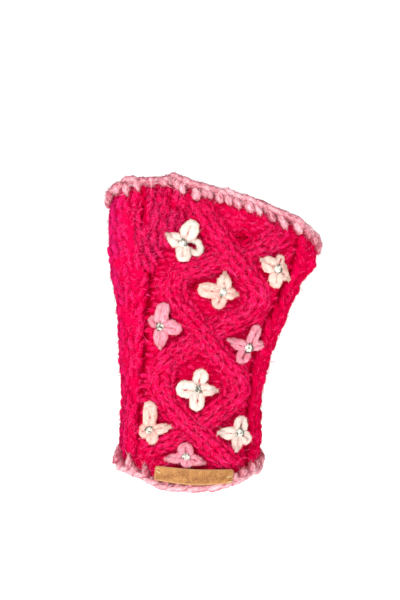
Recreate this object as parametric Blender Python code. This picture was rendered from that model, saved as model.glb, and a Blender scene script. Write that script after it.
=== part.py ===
"""A knitted arm warmer, worn on the left forearm and hand, fingers up.

Lengths are in millimetres until a mesh is made, and the meshes are in metres. +Z runs along the
arm towards the fingers, the back of the hand faces -Y, and the thumb side is -X. The origin is on
the arm's axis at the narrowest part of the wrist, where the wearer holds the cloth up.

The cloth is one tapered tube, worked out from SECTIONS: a row for each height, with the tube's
left and right reach and its depth. It is knitted as two panels, one with two cables over the back
of the hand and a plain one over the palm, joined up both sides. A crocheted edge goes round each
rim, and nine daisies and a leather label lie on the front.
"""
import math

import bmesh
import bpy
import numpy as np
from mathutils import Vector
from mathutils.bvhtree import BVHTree

MM = 0.001

# Cloth
WALL = 3.0              # plain knit, measured level
SEAM_GAP = 0.3          # between two pieces that are sewn together
FRONT_COLUMNS = 48      # mesh columns across the cable panel
PALM_COLUMNS = 24
FRONT_ROWS = 48         # mesh rows up the outside of the cable panel
PALM_ROWS = 24
INSIDE_ROWS = 12        # the inside is plain, so it has fewer

# Cables and edge bands, raised in the front panel's outer points
CABLE_HALF_WIDTH = 5.9
BAND_RISE = 1.1         # the plain knitted strip along each side of the panel
GROOVE_DEPTH = 0.5      # the purl gutter beside each strip
GROOVE_HALF_WIDTH = 2.4
RELIEF_FADE = (5.2, 9.2)    # the relief dies out between these distances from a rim

# Crocheted edges
EDGE_GAP = 0.45         # from the knit's outer face to the inside of the edging
EDGE_THICK = 1.8
EDGE_CAP = 2.4          # how far the edging stands past the knit
EDGE_LEGS = (5.4, 3.2)  # its stitches reach down the knit by turns long and short
HAND_EDGE_STITCHES = 46
WRIST_EDGE_STITCHES = 36
HAND_RIM_DROP = 12.0    # the palm side of the hand rim lies this much lower
WRIST_RIM_RISE = 16.0   # the palm side of the wrist rim lies this much higher

# Daisies
PETAL_HEIGHT = 2.7
PETAL_EDGE = 1.1
FLOWER_GAP = 0.45

# Label
LABEL_THICK = 1.5
LABEL_OFFSET = EDGE_GAP + EDGE_THICK + SEAM_GAP + 0.15  # it lies on the wrist edging
LABEL_STATIONS = 14

# height: the tube's left and right reach there, its depth, its middle in Y and how square it is.
SECTIONS = [
    # height  left   right  depth  middle  square
    (-32.0, -33.6, 32.8, 50.0, 0.0, 2.15),
    (-16.0, -33.8, 33.0, 49.0, 0.0, 2.15),
    (0.0, -32.7, 33.0, 47.0, 0.0, 2.15),
    (16.0, -32.1, 33.4, 46.0, 0.0, 2.20),
    (38.0, -33.1, 38.7, 46.5, 0.5, 2.25),
    (50.0, -33.9, 43.4, 46.0, 0.5, 2.30),
    (61.0, -34.6, 47.8, 45.0, 0.5, 2.30),
    (72.0, -36.2, 53.2, 43.0, 0.5, 2.35),
    (79.0, -37.4, 58.8, 41.0, 0.5, 2.40),
    (86.0, -38.0, 60.6, 39.0, 0.5, 2.40),
    (97.0, -38.1, 60.9, 37.0, 0.5, 2.45),
    (110.0, -37.8, 61.0, 35.0, 0.5, 2.50),
    (124.0, -36.9, 61.0, 34.0, 0.5, 2.50),
]

# The cloth sinks a little between the thumb and the hand, more on the palm side.
WAIST_X = -13.0
WAIST_HALF_WIDTH = 8.0
WAIST_DEPTH_FRONT = 1.2
WAIST_DEPTH_PALM = 5.0
WAIST_HEIGHTS = (70.0, 112.0)

# Outer edge of the finished garment along each rim, on the back of the hand.
HAND_RIM = [
    # x      height
    (-37.8, 120.6),
    (-30.0, 122.2),
    (-17.0, 121.9),
    (-8.5, 122.6),
    (-2.0, 120.0),
    (9.0, 117.2),
    (21.0, 113.6),
    (32.0, 110.0),
    (43.0, 106.0),
    (54.0, 101.4),
    (61.0, 96.6),
]
WRIST_RIM = [
    (-33.8, -24.2),
    (-28.0, -23.6),
    (-22.0, -24.4),
    (-16.0, -26.8),
    (-8.5, -28.0),
    (9.0, -28.0),
    (20.0, -26.8),
    (33.0, -24.4),
]

# The two cables, from the hand rim down. crest is how high each stands over the plain knit:
# high where it crosses over the other, low where it passes under.
CABLE_A = [
    # x     height  crest
    (-2.9, 120.2, 1.8),
    (1.4, 111.6, 2.2),
    (6.2, 104.0, 2.6),
    (11.9, 94.6, 3.1),
    (20.0, 84.2, 3.4),
    (27.1, 73.7, 3.1),
    (31.8, 65.8, 2.6),
    (29.0, 56.7, 2.5),
    (20.0, 51.9, 2.2),
    (10.9, 47.7, 1.2),
    (1.1, 41.1, 2.2),
    (-10.4, 33.5, 2.5),
    (-13.7, 22.6, 2.6),
    (-9.4, 13.2, 2.8),
    (-3.7, 5.6, 3.2),
    (3.8, -1.0, 3.4),
    (11.9, -9.1, 3.0),
    (20.0, -16.7, 2.4),
    (26.7, -24.8, 2.0),
]
CABLE_B = [
    (33.6, 111.3, 1.6),
    (40.5, 103.4, 2.0),
    (44.1, 96.0, 2.2),
    (37.6, 89.6, 2.3),
    (27.1, 85.5, 1.8),
    (17.1, 81.8, 1.2),
    (7.2, 79.0, 2.2),
    (-3.3, 76.1, 2.5),
    (-8.4, 69.0, 2.6),
    (-5.7, 61.0, 2.8),
    (0.1, 53.9, 3.2),
    (6.2, 46.3, 3.4),
    (11.9, 37.7, 3.1),
    (18.5, 30.2, 2.7),
    (22.4, 22.6, 2.5),
    (20.0, 15.5, 2.4),
    (11.9, 8.9, 2.0),
    (3.4, 2.2, 1.2),
    (-4.7, -2.0, 2.0),
    (-13.2, -4.4, 2.1),
    (-20.8, -7.7, 1.8),
]

# Where the gutter runs between the cable ground and the plain strip on each side.
THUMB_GUTTER = [
    # height  x
    (-28.8, -27.6),
    (0.8, -25.6),
    (36.4, -22.6),
    (61.0, -20.7),
    (71.9, -19.4),
    (91.6, -24.6),
    (121.2, -21.2),
]
OUTER_GUTTER = [
    (-28.8, 28.3),
    (18.6, 29.5),
    (42.3, 33.1),
    (66.0, 44.0),
    (79.8, 49.4),
    (109.4, 54.3),
]

# Daisies: centre, then for each petal its bearing (degrees from +X towards +Z), length and half width.
DAISIES = {
    "daisy_1": ((-3.5, 89.1), [(70, 12.6, 3.9), (-35, 9.6, 3.2), (-92, 8.9, 3.9), (160, 9.4, 3.3)]),
    "daisy_2": ((41.5, 77.1), [(63, 6.6, 2.9), (-42, 8.2, 3.2), (-108, 9.4, 3.5), (162, 9.4, 3.9)]),
    "daisy_3": ((15.7, 66.1), [(84, 9.8, 3.6), (-12, 7.2, 3.3), (-108, 8.2, 3.6), (176, 12.4, 3.9)]),
    "daisy_4": ((-13.7, 49.9), [(90, 11.5, 3.8), (-3, 10.2, 3.7), (-92, 11.7, 3.7), (146, 8.0, 2.5)]),
    "daisy_5": ((27.6, 39.7), [(65, 11.6, 2.9), (12, 7.8, 3.4), (-118, 8.2, 3.3), (161, 11.0, 3.0)]),
    "daisy_6": ((3.6, 20.0), [(85, 10.3, 3.6), (0, 9.8, 3.1), (-88, 10.5, 3.9), (180, 10.2, 4.4)]),
    "daisy_7": ((-19.0, 0.4), [(87, 14.0, 3.6), (15, 10.9, 2.9), (-72, 6.2, 3.0), (186, 5.2, 3.2)]),
    "daisy_8": ((23.2, -0.6), [(74, 8.2, 3.4), (-38, 6.4, 3.4), (-100, 9.7, 3.4), (182, 11.2, 3.0)]),
    "daisy_9": ((-1.8, -10.6), [(78, 6.2, 3.6), (-12, 9.4, 2.2), (187, 10.4, 2.2)]),
}
DAISY_COLOURS = {
    "cream": (0.93, 0.80, 0.72, 1.0),
    "peach": (0.95, 0.72, 0.62, 1.0),
    "pink": (0.87, 0.32, 0.42, 1.0),
}
DAISY_YARN = {
    "daisy_1": "cream",
    "daisy_2": "peach",
    "daisy_3": "peach",
    "daisy_4": "pink",
    "daisy_5": "pink",
    "daisy_6": "cream",
    "daisy_7": "peach",
    "daisy_8": "cream",
    "daisy_9": "pink",
}
PETAL_SPREAD = (0.0, 0.3, 0.62)     # mesh spokes from a petal's axis (0) to the notch beside it (1)
CORE_RADIUS = 2.3                   # the petals' roots close up round the centre

# Label: top and bottom edges along the front
LABEL_TOP = [
    # x      height
    (-16.0, -15.7),
    (1.9, -17.3),
    (20.4, -17.6),
]
LABEL_BOTTOM = [
    (-17.0, -22.4),
    (1.1, -24.8),
    (20.0, -24.0),
]


# --- Curves through short tables ------------------------------------------------------------

def column(rows, index):
    return np.array([row[index] for row in rows], dtype=float)


def smooth(at, knots, values):
    """A smooth curve through a table, level past its ends."""
    at = np.clip(np.asarray(at, dtype=float), knots[0], knots[-1])
    slope = np.gradient(values, knots)
    k = np.clip(np.searchsorted(knots, at, side="right") - 1, 0, len(knots) - 2)
    span = knots[k + 1] - knots[k]
    f = (at - knots[k]) / span
    h00 = (1 + 2 * f) * (1 - f) ** 2
    h10 = f * (1 - f) ** 2
    h01 = f * f * (3 - 2 * f)
    h11 = f * f * (f - 1)
    return h00 * values[k] + h10 * span * slope[k] + h01 * values[k + 1] + h11 * span * slope[k + 1]


def step_up(at, low, high):
    """0 below low, 1 above high, with a soft change between."""
    f = np.clip((at - low) / (high - low), 0.0, 1.0)
    return f * f * (3 - 2 * f)


def curve_points(rows, count):
    """Points at even steps of the table's own parameter, along a smooth curve through its rows."""
    knots = np.arange(len(rows), dtype=float)
    at = np.linspace(0.0, knots[-1], count)
    return np.stack([smooth(at, knots, column(rows, i)) for i in range(len(rows[0]))], axis=1)


# --- The tube -------------------------------------------------------------------------------

def section(turn, height):
    """A point of the tube's outside in plan, and the outward direction there.

    turn runs from 0 on the thumb side over the back of the hand (pi/2) to the outer side (pi)
    and back over the palm.
    """
    def plan(t):
        heights = column(SECTIONS, 0)
        left, right, depth, middle, square = (
            smooth(height, heights, column(SECTIONS, i)) for i in range(1, 6))
        half_x = (right - left) / 2
        half_y = depth / 2
        bearing = np.arctan2(np.sqrt(half_y / half_x) * np.sin(t), np.cos(t))
        across = np.abs(np.cos(bearing) / half_x) ** square
        along = np.abs(np.sin(bearing) / half_y) ** square
        reach = (across + along) ** (-1 / square)
        x = (left + right) / 2 - reach * np.cos(bearing)
        y = middle - reach * np.sin(bearing)
        sink = np.exp(-((x - WAIST_X) / WAIST_HALF_WIDTH) ** 2) * step_up(height, *WAIST_HEIGHTS)
        y = y + sink * np.where(y < middle, WAIST_DEPTH_FRONT, -WAIST_DEPTH_PALM)
        return x, y

    turn = np.asarray(turn, dtype=float)
    height = np.asarray(height, dtype=float)
    nudge = 0.02
    x, y = plan(turn)
    x0, y0 = plan(turn - nudge)
    x1, y1 = plan(turn + nudge)
    tangent_x = x1 - x0
    tangent_y = y1 - y0
    length = np.hypot(tangent_x, tangent_y)
    return x, y, tangent_y / length, -tangent_x / length


def tube_point(turn, height, outward=0.0):
    """A point of the tube, moved level and square to its outside."""
    x, y, out_x, out_y = section(turn, height)
    return np.stack([x + outward * out_x, y + outward * out_y, height + 0.0 * x], axis=-1)


def rim_height(turn, rows, fall):
    """The finished rim's height: the table's on the back of the hand, fall further on over the palm."""
    knots = column(rows, 0)
    level = np.full_like(np.asarray(turn, dtype=float), np.mean(column(rows, 1)))
    x, y, _, _ = section(turn, level)
    _, front, _, _ = section(np.full_like(x, math.pi / 2), level)
    _, palm, _, _ = section(np.full_like(x, -math.pi / 2), level)
    toward_palm = (y - front) / (palm - front)
    return smooth(x, knots, column(rows, 1)) + fall * toward_palm


def hand_rim(turn):
    return rim_height(turn, HAND_RIM, -HAND_RIM_DROP)


def wrist_rim(turn):
    return rim_height(turn, WRIST_RIM, WRIST_RIM_RISE)


def wall_height(turn, up):
    """Height in the knit at a part of the way up from its wrist rim (0) to its hand rim (1)."""
    low = wrist_rim(turn) + EDGE_CAP
    high = hand_rim(turn) - EDGE_CAP
    return low + up * (high - low)


def rim_fade(turn, height):
    """1 in the panel's middle, 0 where the crocheted edges cover it."""
    from_hand = hand_rim(turn) - EDGE_CAP - height
    from_wrist = height - wrist_rim(turn) - EDGE_CAP
    return step_up(np.minimum(from_hand, from_wrist), *RELIEF_FADE)


# --- Relief ---------------------------------------------------------------------------------

def cable_relief(x, height, rows):
    route = curve_points(rows, 12 * len(rows))
    dx = x[..., None] - route[:, 0]
    dz = height[..., None] - route[:, 1]
    apart = np.hypot(dx, dz)
    nearest = apart.argmin(axis=-1)
    f = np.clip(apart.min(axis=-1) / CABLE_HALF_WIDTH, 0.0, 1.0)
    return route[nearest, 2] * (1 - f ** 2.4)


def gutter_x(height, rows):
    return smooth(height, column(rows, 0), column(rows, 1))


def front_relief(turn, height):
    """How far the cable panel's outside stands over the plain tube."""
    x, _, _, _ = section(turn, height)
    thumb_side = gutter_x(height, THUMB_GUTTER)
    outer_side = gutter_x(height, OUTER_GUTTER)
    band = BAND_RISE * (step_up(thumb_side - x, 0.5, 3.5) + step_up(x - outer_side, 0.5, 3.5))
    off_gutter = np.minimum(np.abs(x - thumb_side), np.abs(x - outer_side))
    groove = GROOVE_DEPTH * (1 - step_up(off_gutter, 0.0, GROOVE_HALF_WIDTH))
    cables = np.maximum(cable_relief(x, height, CABLE_A), cable_relief(x, height, CABLE_B))
    return (np.maximum(band, cables) - groove) * rim_fade(turn, height)


def palm_relief(turn, height):
    return BAND_RISE * rim_fade(turn, height)


# --- Meshes ---------------------------------------------------------------------------------

def material(name, colour, roughness):
    made = bpy.data.materials.new(name)
    made.use_nodes = True
    shader = made.node_tree.nodes["Principled BSDF"]
    shader.inputs["Base Color"].default_value = colour
    shader.inputs["Roughness"].default_value = roughness
    shader.inputs["Metallic"].default_value = 0.0
    return made


def solid(name, points, faces, finish):
    """An object from points in millimetres and faces, with every face turned outwards."""
    mesh = bpy.data.meshes.new(name)
    mesh.from_pydata([Vector(p) * MM for p in points], [], faces)
    work = bmesh.new()
    work.from_mesh(mesh)
    bmesh.ops.recalc_face_normals(work, faces=work.faces)
    bmesh.ops.triangulate(work, faces=work.faces)
    work.to_mesh(mesh)
    work.free()
    mesh.shade_smooth()
    mesh.materials.append(finish)
    made = bpy.data.objects.new(name, mesh)
    bpy.context.collection.objects.link(made)
    return made


def panel(name, turns, rows, relief, finish):
    """A knitted panel: a raised outside of many rows, over a plain inside of a few."""
    def grid(row_count, outward):
        up = np.linspace(0.0, 1.0, row_count + 1)[:, None]
        turn = np.broadcast_to(turns, (row_count + 1, len(turns)))
        height = wall_height(turn, up)
        return tube_point(turn, height, outward(turn, height)).reshape(-1, 3)

    across = len(turns)
    outside = grid(rows, relief)
    inside = grid(INSIDE_ROWS, lambda turn, height: np.full_like(height, -WALL))
    first_inside = len(outside)
    faces = []
    for row in range(rows):
        for i in range(across - 1):
            a = row * across + i
            faces.append((a, a + 1, a + across + 1, a + across))
    for row in range(INSIDE_ROWS):
        for i in range(across - 1):
            a = first_inside + row * across + i
            faces.append((a, a + across, a + across + 1, a + 1))
    for i in range(across - 1):
        low_in = first_inside + i
        faces.append((i, low_in, low_in + 1, i + 1))
        high_out = rows * across + i
        high_in = first_inside + INSIDE_ROWS * across + i
        faces.append((high_out, high_out + 1, high_in + 1, high_in))
    step = rows // INSIDE_ROWS
    for i in (0, across - 1):
        for row in range(INSIDE_ROWS):
            low_in = first_inside + row * across + i
            high_in = low_in + across
            outer = [(row * step + k) * across + i for k in range(step + 1)]
            faces += [(low_in, low, high) for low, high in zip(outer, outer[1:])]
            faces.append((low_in, outer[-1], high_in))
    return solid(name, np.concatenate([outside, inside]), faces, finish)


def ring(name, loops, finish):
    """A closed ring: loops[k] is the outline of its section at station k."""
    stations = len(loops)
    sides = len(loops[0])
    faces = []
    for k in range(stations):
        after = (k + 1) % stations
        for i in range(sides):
            j = (i + 1) % sides
            faces.append((k * sides + i, k * sides + j, after * sides + j, after * sides + i))
    return solid(name, np.concatenate(loops), faces, finish)


def crochet_edge(name, stitches, rim, way, finish):
    """An edging folded over a rim. way is +1 at the hand rim and -1 at the wrist rim.

    Each stitch is two stations: one in the leg that reaches down the knit, one between legs.
    """
    loops = []
    for k in range(2 * stitches):
        turn = 2 * math.pi * k / (2 * stitches)
        leg = EDGE_LEGS[k % 2]
        swell = 0.3 if k % 2 == 0 else 0.0
        knit_rim = float(rim(np.array(turn))) - way * EDGE_CAP
        outline = [
            # outward, past the knit's rim
            (EDGE_GAP, -leg),
            (EDGE_GAP + 0.6 * EDGE_THICK, -leg),
            (EDGE_GAP + EDGE_THICK, -0.55 * leg),
            (EDGE_GAP + 0.8 * EDGE_THICK - swell, 0.75 * EDGE_CAP),
            (-0.45 * WALL, EDGE_CAP),
            (-WALL, 0.8 * EDGE_CAP),
            (-WALL, SEAM_GAP),
            (EDGE_GAP, SEAM_GAP),
        ]
        loops.append(np.array([
            tube_point(turn, knit_rim + way * past, outward) for outward, past in outline]))
    return ring(name, loops, finish)


def petal_reach(bearing, petal):
    """How far a petal reaches at a bearing: it is an ellipse whose end is at the centre."""
    axis, length, half_width = petal
    off = math.remainder(bearing - math.radians(axis), 2 * math.pi)
    if abs(off) >= math.pi / 2:
        return 0.0
    half = length / 2
    along = math.cos(off) / half
    across = math.sin(off) / half_width
    return 2 * math.cos(off) / half / (along ** 2 + across ** 2)


def flower_spokes(petals):
    """Bearings round a flower: through each petal's axis and on either side of it to the notches."""
    axes = sorted(math.radians(p[0]) % (2 * math.pi) for p in petals)
    spokes = []
    for here, after in zip(axes, axes[1:] + [axes[0] + 2 * math.pi]):
        half_gap = min((after - here) / 2, math.pi / 3)
        spokes += [here + f * half_gap for f in PETAL_SPREAD]
        if (after - here) / 2 > half_gap:
            spokes += [here + half_gap, after - half_gap]
        else:
            spokes.append(here + half_gap)
        spokes += [after - f * half_gap for f in reversed(PETAL_SPREAD[1:])]
    return spokes


def daisy(name, centre, petals, surface_y, finish):
    """A flower of plump looped petals, one solid, moved out from the panel under it."""
    rings = (0.42, 0.72, 0.9, 1.0)
    heights = (0.9 * PETAL_HEIGHT, PETAL_HEIGHT, 0.85 * PETAL_HEIGHT, PETAL_EDGE)
    under_rings = (1.0, 0.5)
    spokes = flower_spokes(petals)
    count = len(spokes)
    reach = [max(CORE_RADIUS, *(petal_reach(b, p) for p in petals)) for b in spokes]

    def at(spoke, part, lift):
        x = centre[0] + part * reach[spoke] * math.cos(spokes[spoke])
        z = centre[1] + part * reach[spoke] * math.sin(spokes[spoke])
        return (x, surface_y(x, z) - FLOWER_GAP - lift, z)

    points = [at(0, 0.0, 0.7 * PETAL_HEIGHT)]
    for part, lift in zip(rings, heights):
        points += [at(s, part, lift) for s in range(count)]
    for part in under_rings:
        points += [at(s, part, 0.0) for s in range(count)]
    points.append(at(0, 0.0, 0.0))
    last = len(points) - 1
    faces = []
    for s in range(count):
        after = (s + 1) % count
        faces.append((0, 1 + s, 1 + after))
        for r in range(len(rings) + len(under_rings) - 1):
            a = 1 + r * count
            b = a + count
            faces.append((a + s, b + s, b + after, a + after))
        a = last - count
        faces.append((a + s, last, a + after))
    return solid(name, points, faces, finish)


def front_turn(x, height):
    """Where the tube's front passes a given x at a given height."""
    low, high = 0.0, math.pi
    for _ in range(40):
        middle = (low + high) / 2
        if float(section(middle, height)[0]) < x:
            low = middle
        else:
            high = middle
    return (low + high) / 2


def label(name, finish):
    """A flat strip of leather bent round the front, over the wrist edging."""
    loops = []
    for x in np.linspace(LABEL_TOP[0][0], LABEL_TOP[-1][0], LABEL_STATIONS):
        top = float(smooth(x, column(LABEL_TOP, 0), column(LABEL_TOP, 1)))
        bottom = float(smooth(x, column(LABEL_BOTTOM, 0), column(LABEL_BOTTOM, 1)))
        inner = LABEL_OFFSET
        outer = inner + LABEL_THICK
        outline = [(inner, top), (outer, top), (outer, bottom), (inner, bottom)]
        loops.append([tube_point(front_turn(x, z), z, out) for out, z in outline])
    sides = 4
    faces = [tuple(range(sides)), tuple((len(loops) - 1) * sides + i for i in range(sides))]
    for k in range(len(loops) - 1):
        for i in range(sides):
            j = (i + 1) % sides
            faces.append((k * sides + i, k * sides + j, (k + 1) * sides + j, (k + 1) * sides + i))
    return solid(name, np.concatenate(loops), faces, finish)


def panel_surface(front):
    """A function giving the panel's outermost Y, in millimetres, near a point of the front."""
    tree = BVHTree.FromPolygons(
        [v.co.copy() for v in front.data.vertices], [tuple(p.vertices) for p in front.data.polygons])
    spread = 1.3
    offsets = [(0.0, 0.0)]
    offsets += [(spread * math.cos(a), spread * math.sin(a)) for a in np.radians(range(0, 360, 45))]

    def surface_y(x, z):
        found = []
        for dx, dz in offsets:
            start = Vector((x + dx, -100.0, z + dz)) * MM
            hit, _, _, _ = tree.ray_cast(start, Vector((0.0, 1.0, 0.0)))
            if hit is not None:
                found.append(hit.y / MM)
        return min(found)

    return surface_y


def clear_scene():
    for old in list(bpy.data.objects):
        bpy.data.objects.remove(old, do_unlink=True)


def build():
    clear_scene()
    knit = material("crimson_wool", (0.80, 0.007, 0.080, 1.0), 0.9)
    edging = material("pale_pink_wool", (0.87, 0.32, 0.40, 1.0), 0.9)
    leather = material("tan_leather", (0.62, 0.26, 0.10, 1.0), 0.6)
    petals = {name: material(name + "_wool", colour, 0.9) for name, colour in DAISY_COLOURS.items()}

    seam = SEAM_GAP / 2 / 25.0      # half the seam's gap as a turn: the side's radius is about 25
    front_turns = np.linspace(seam, math.pi - seam, FRONT_COLUMNS + 1)
    palm_turns = np.linspace(math.pi + seam, 2 * math.pi - seam, PALM_COLUMNS + 1)
    front = panel("cable_panel", front_turns, FRONT_ROWS, front_relief, knit)
    panel("palm_panel", palm_turns, PALM_ROWS, palm_relief, knit)
    crochet_edge("hand_edging", HAND_EDGE_STITCHES, hand_rim, 1, edging)
    crochet_edge("wrist_edging", WRIST_EDGE_STITCHES, wrist_rim, -1, edging)
    label("leather_label", leather)
    surface_y = panel_surface(front)
    for name, (centre, shape) in DAISIES.items():
        daisy(name, centre, shape, surface_y, petals[DAISY_YARN[name]])


build()
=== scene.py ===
"""The looks of a knitted arm warmer: wool, stitches, crocheted edges, daisies, stones and label.

Lengths are in millimetres until a mesh is made, and the meshes are in metres, in the CAD's frame: +Z
runs along the arm towards the fingers, the back of the hand faces -Y, and the thumb side is -X.

The cloth is two thin shells on the form of the CAD panels. Every visible stitch on them is a short
tube of plied yarn, swept along a path that dives under its neighbours at both ends.
"""
import math

import bmesh
import bpy
import numpy as np
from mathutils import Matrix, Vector
from mathutils.bvhtree import BVHTree


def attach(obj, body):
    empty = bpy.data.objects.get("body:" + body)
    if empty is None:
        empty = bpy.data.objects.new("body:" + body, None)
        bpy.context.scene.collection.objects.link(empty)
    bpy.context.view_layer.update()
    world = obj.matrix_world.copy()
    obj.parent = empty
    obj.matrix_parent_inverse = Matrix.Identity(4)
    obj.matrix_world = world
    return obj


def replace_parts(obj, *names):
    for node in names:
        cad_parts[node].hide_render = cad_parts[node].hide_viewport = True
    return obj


MM = 0.001
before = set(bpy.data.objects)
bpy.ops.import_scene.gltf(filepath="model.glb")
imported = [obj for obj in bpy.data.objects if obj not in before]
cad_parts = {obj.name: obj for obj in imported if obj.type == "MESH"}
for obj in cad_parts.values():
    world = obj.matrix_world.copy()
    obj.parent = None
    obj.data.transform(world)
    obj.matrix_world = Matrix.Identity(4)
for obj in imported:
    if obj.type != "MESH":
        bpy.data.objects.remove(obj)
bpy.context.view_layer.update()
draw = np.random.default_rng(20)

# --- Sizes shared with the CAD source, with the same values -----------------------------------

WALL = 3.0
SEAM_GAP = 0.3
BAND_RISE = 1.1
GROOVE_DEPTH = 0.5
GROOVE_HALF_WIDTH = 2.4
CABLE_HALF_WIDTH = 5.9
RELIEF_FADE = (5.2, 9.2)
EDGE_GAP = 0.45
EDGE_THICK = 1.8
EDGE_CAP = 2.4
HAND_EDGE_STITCHES = 46
WRIST_EDGE_STITCHES = 36
HAND_RIM_DROP = 12.0
WRIST_RIM_RISE = 16.0
LABEL_THICK = 1.5
LABEL_OFFSET = EDGE_GAP + EDGE_THICK + SEAM_GAP + 0.15

# height: the tube's left and right reach there, its depth, its middle in Y and how square it is.
SECTIONS = [
    # height  left   right  depth  middle  square
    (-32.0, -33.6, 32.8, 50.0, 0.0, 2.15),
    (-16.0, -33.8, 33.0, 49.0, 0.0, 2.15),
    (0.0, -32.7, 33.0, 47.0, 0.0, 2.15),
    (16.0, -32.1, 33.4, 46.0, 0.0, 2.20),
    (38.0, -33.1, 38.7, 46.5, 0.5, 2.25),
    (50.0, -33.9, 43.4, 46.0, 0.5, 2.30),
    (61.0, -34.6, 47.8, 45.0, 0.5, 2.30),
    (72.0, -36.2, 53.2, 43.0, 0.5, 2.35),
    (79.0, -37.4, 58.8, 41.0, 0.5, 2.40),
    (86.0, -38.0, 60.6, 39.0, 0.5, 2.40),
    (97.0, -38.1, 60.9, 37.0, 0.5, 2.45),
    (110.0, -37.8, 61.0, 35.0, 0.5, 2.50),
    (124.0, -36.9, 61.0, 34.0, 0.5, 2.50),
]
WAIST_X = -13.0
WAIST_HALF_WIDTH = 8.0
WAIST_DEPTH_FRONT = 1.2
WAIST_DEPTH_PALM = 5.0
WAIST_HEIGHTS = (70.0, 112.0)

HAND_RIM = [
    # x      height
    (-37.8, 120.6),
    (-30.0, 122.2),
    (-17.0, 121.9),
    (-8.5, 122.6),
    (-2.0, 120.0),
    (9.0, 117.2),
    (21.0, 113.6),
    (32.0, 110.0),
    (43.0, 106.0),
    (54.0, 101.4),
    (61.0, 96.6),
]
WRIST_RIM = [
    (-33.8, -24.2),
    (-28.0, -23.6),
    (-22.0, -24.4),
    (-16.0, -26.8),
    (-8.5, -28.0),
    (9.0, -28.0),
    (20.0, -26.8),
    (33.0, -24.4),
]
CABLE_A = [
    # x     height  crest
    (-2.9, 120.2, 1.8),
    (1.4, 111.6, 2.2),
    (6.2, 104.0, 2.6),
    (11.9, 94.6, 3.1),
    (20.0, 84.2, 3.4),
    (27.1, 73.7, 3.1),
    (31.8, 65.8, 2.6),
    (29.0, 56.7, 2.5),
    (20.0, 51.9, 2.2),
    (10.9, 47.7, 1.2),
    (1.1, 41.1, 2.2),
    (-10.4, 33.5, 2.5),
    (-13.7, 22.6, 2.6),
    (-9.4, 13.2, 2.8),
    (-3.7, 5.6, 3.2),
    (3.8, -1.0, 3.4),
    (11.9, -9.1, 3.0),
    (20.0, -16.7, 2.4),
    (26.7, -24.8, 2.0),
]
CABLE_B = [
    (33.6, 111.3, 1.6),
    (40.5, 103.4, 2.0),
    (44.1, 96.0, 2.2),
    (37.6, 89.6, 2.3),
    (27.1, 85.5, 1.8),
    (17.1, 81.8, 1.2),
    (7.2, 79.0, 2.2),
    (-3.3, 76.1, 2.5),
    (-8.4, 69.0, 2.6),
    (-5.7, 61.0, 2.8),
    (0.1, 53.9, 3.2),
    (6.2, 46.3, 3.4),
    (11.9, 37.7, 3.1),
    (18.5, 30.2, 2.7),
    (22.4, 22.6, 2.5),
    (20.0, 15.5, 2.4),
    (11.9, 8.9, 2.0),
    (3.4, 2.2, 1.2),
    (-4.7, -2.0, 2.0),
    (-13.2, -4.4, 2.1),
    (-20.8, -7.7, 1.8),
]
THUMB_GUTTER = [
    # height  x
    (-28.8, -27.6),
    (0.8, -25.6),
    (36.4, -22.6),
    (61.0, -20.7),
    (71.9, -19.4),
    (91.6, -24.6),
    (121.2, -21.2),
]
OUTER_GUTTER = [
    (-28.8, 28.3),
    (18.6, 29.5),
    (42.3, 33.1),
    (66.0, 44.0),
    (79.8, 49.4),
    (109.4, 54.3),
]
LABEL_TOP = [
    # x      height
    (-16.0, -15.7),
    (1.9, -17.3),
    (20.4, -17.6),
]
LABEL_BOTTOM = [
    (-17.0, -22.4),
    (1.1, -24.8),
    (20.0, -24.0),
]

# --- Sizes of the scene's own -----------------------------------------------------------------

# Daisies, refined from the CAD's: yarn and centre, then for each petal its bearing (degrees from +X
# towards +Z), length, half width and kind.
DAISIES = {
    "daisy_1": ("cream", (-3.6, 89.0), [
        (61, 12.7, 4.1, "ball"), (-88, 8.8, 3.9, "round"), (150, 9.3, 3.6, "pointed")]),
    "daisy_2": ("peach", (41.4, 77.1), [
        (70, 6.9, 2.7, "round"), (14, 4.8, 2.6, "round"), (-40, 8.2, 2.9, "pointed"),
        (-101, 9.0, 3.5, "round"), (155, 9.7, 4.1, "pointed")]),
    "daisy_3": ("peach", (15.7, 66.1), [
        (85, 10.0, 3.8, "pointed"), (-12, 7.3, 3.3, "pointed"), (-112, 8.6, 3.5, "open"),
        (175, 12.2, 3.9, "round")]),
    "daisy_4": ("pink", (-13.7, 49.9), [
        (88, 11.4, 3.8, "round"), (-6, 10.2, 3.8, "round"), (-92, 11.2, 3.5, "pointed"),
        (148, 7.0, 2.7, "round")]),
    "daisy_5": ("pink", (27.6, 39.7), [
        (61, 12.0, 2.8, "round"), (20, 7.7, 2.8, "round"), (-118, 8.6, 3.3, "open"),
        (162, 10.8, 3.1, "pointed")]),
    "daisy_6": ("cream", (3.6, 20.0), [
        (80, 10.4, 3.8, "ball"), (2, 10.0, 3.1, "pointed"), (-90, 10.4, 3.9, "round"),
        (179, 10.1, 4.5, "round")]),
    "daisy_7": ("peach", (-19.0, 0.4), [
        (88, 14.4, 3.7, "round"), (13, 11.0, 2.8, "pointed"), (-65, 6.4, 3.0, "round"),
        (185, 5.0, 3.5, "round")]),
    "daisy_8": ("cream", (23.2, -0.6), [
        (76, 8.3, 3.3, "open"), (-43, 6.8, 3.4, "round"), (-99, 9.6, 3.0, "pointed"),
        (181, 10.8, 3.1, "pointed")]),
    "daisy_9": ("pink", (-1.8, -11.8), [
        (82, 7.0, 3.9, "open"), (-16, 9.8, 2.8, "pointed"), (186, 10.6, 2.8, "pointed"),
        (-88, 5.0, 3.3, "round")]),
}
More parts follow.
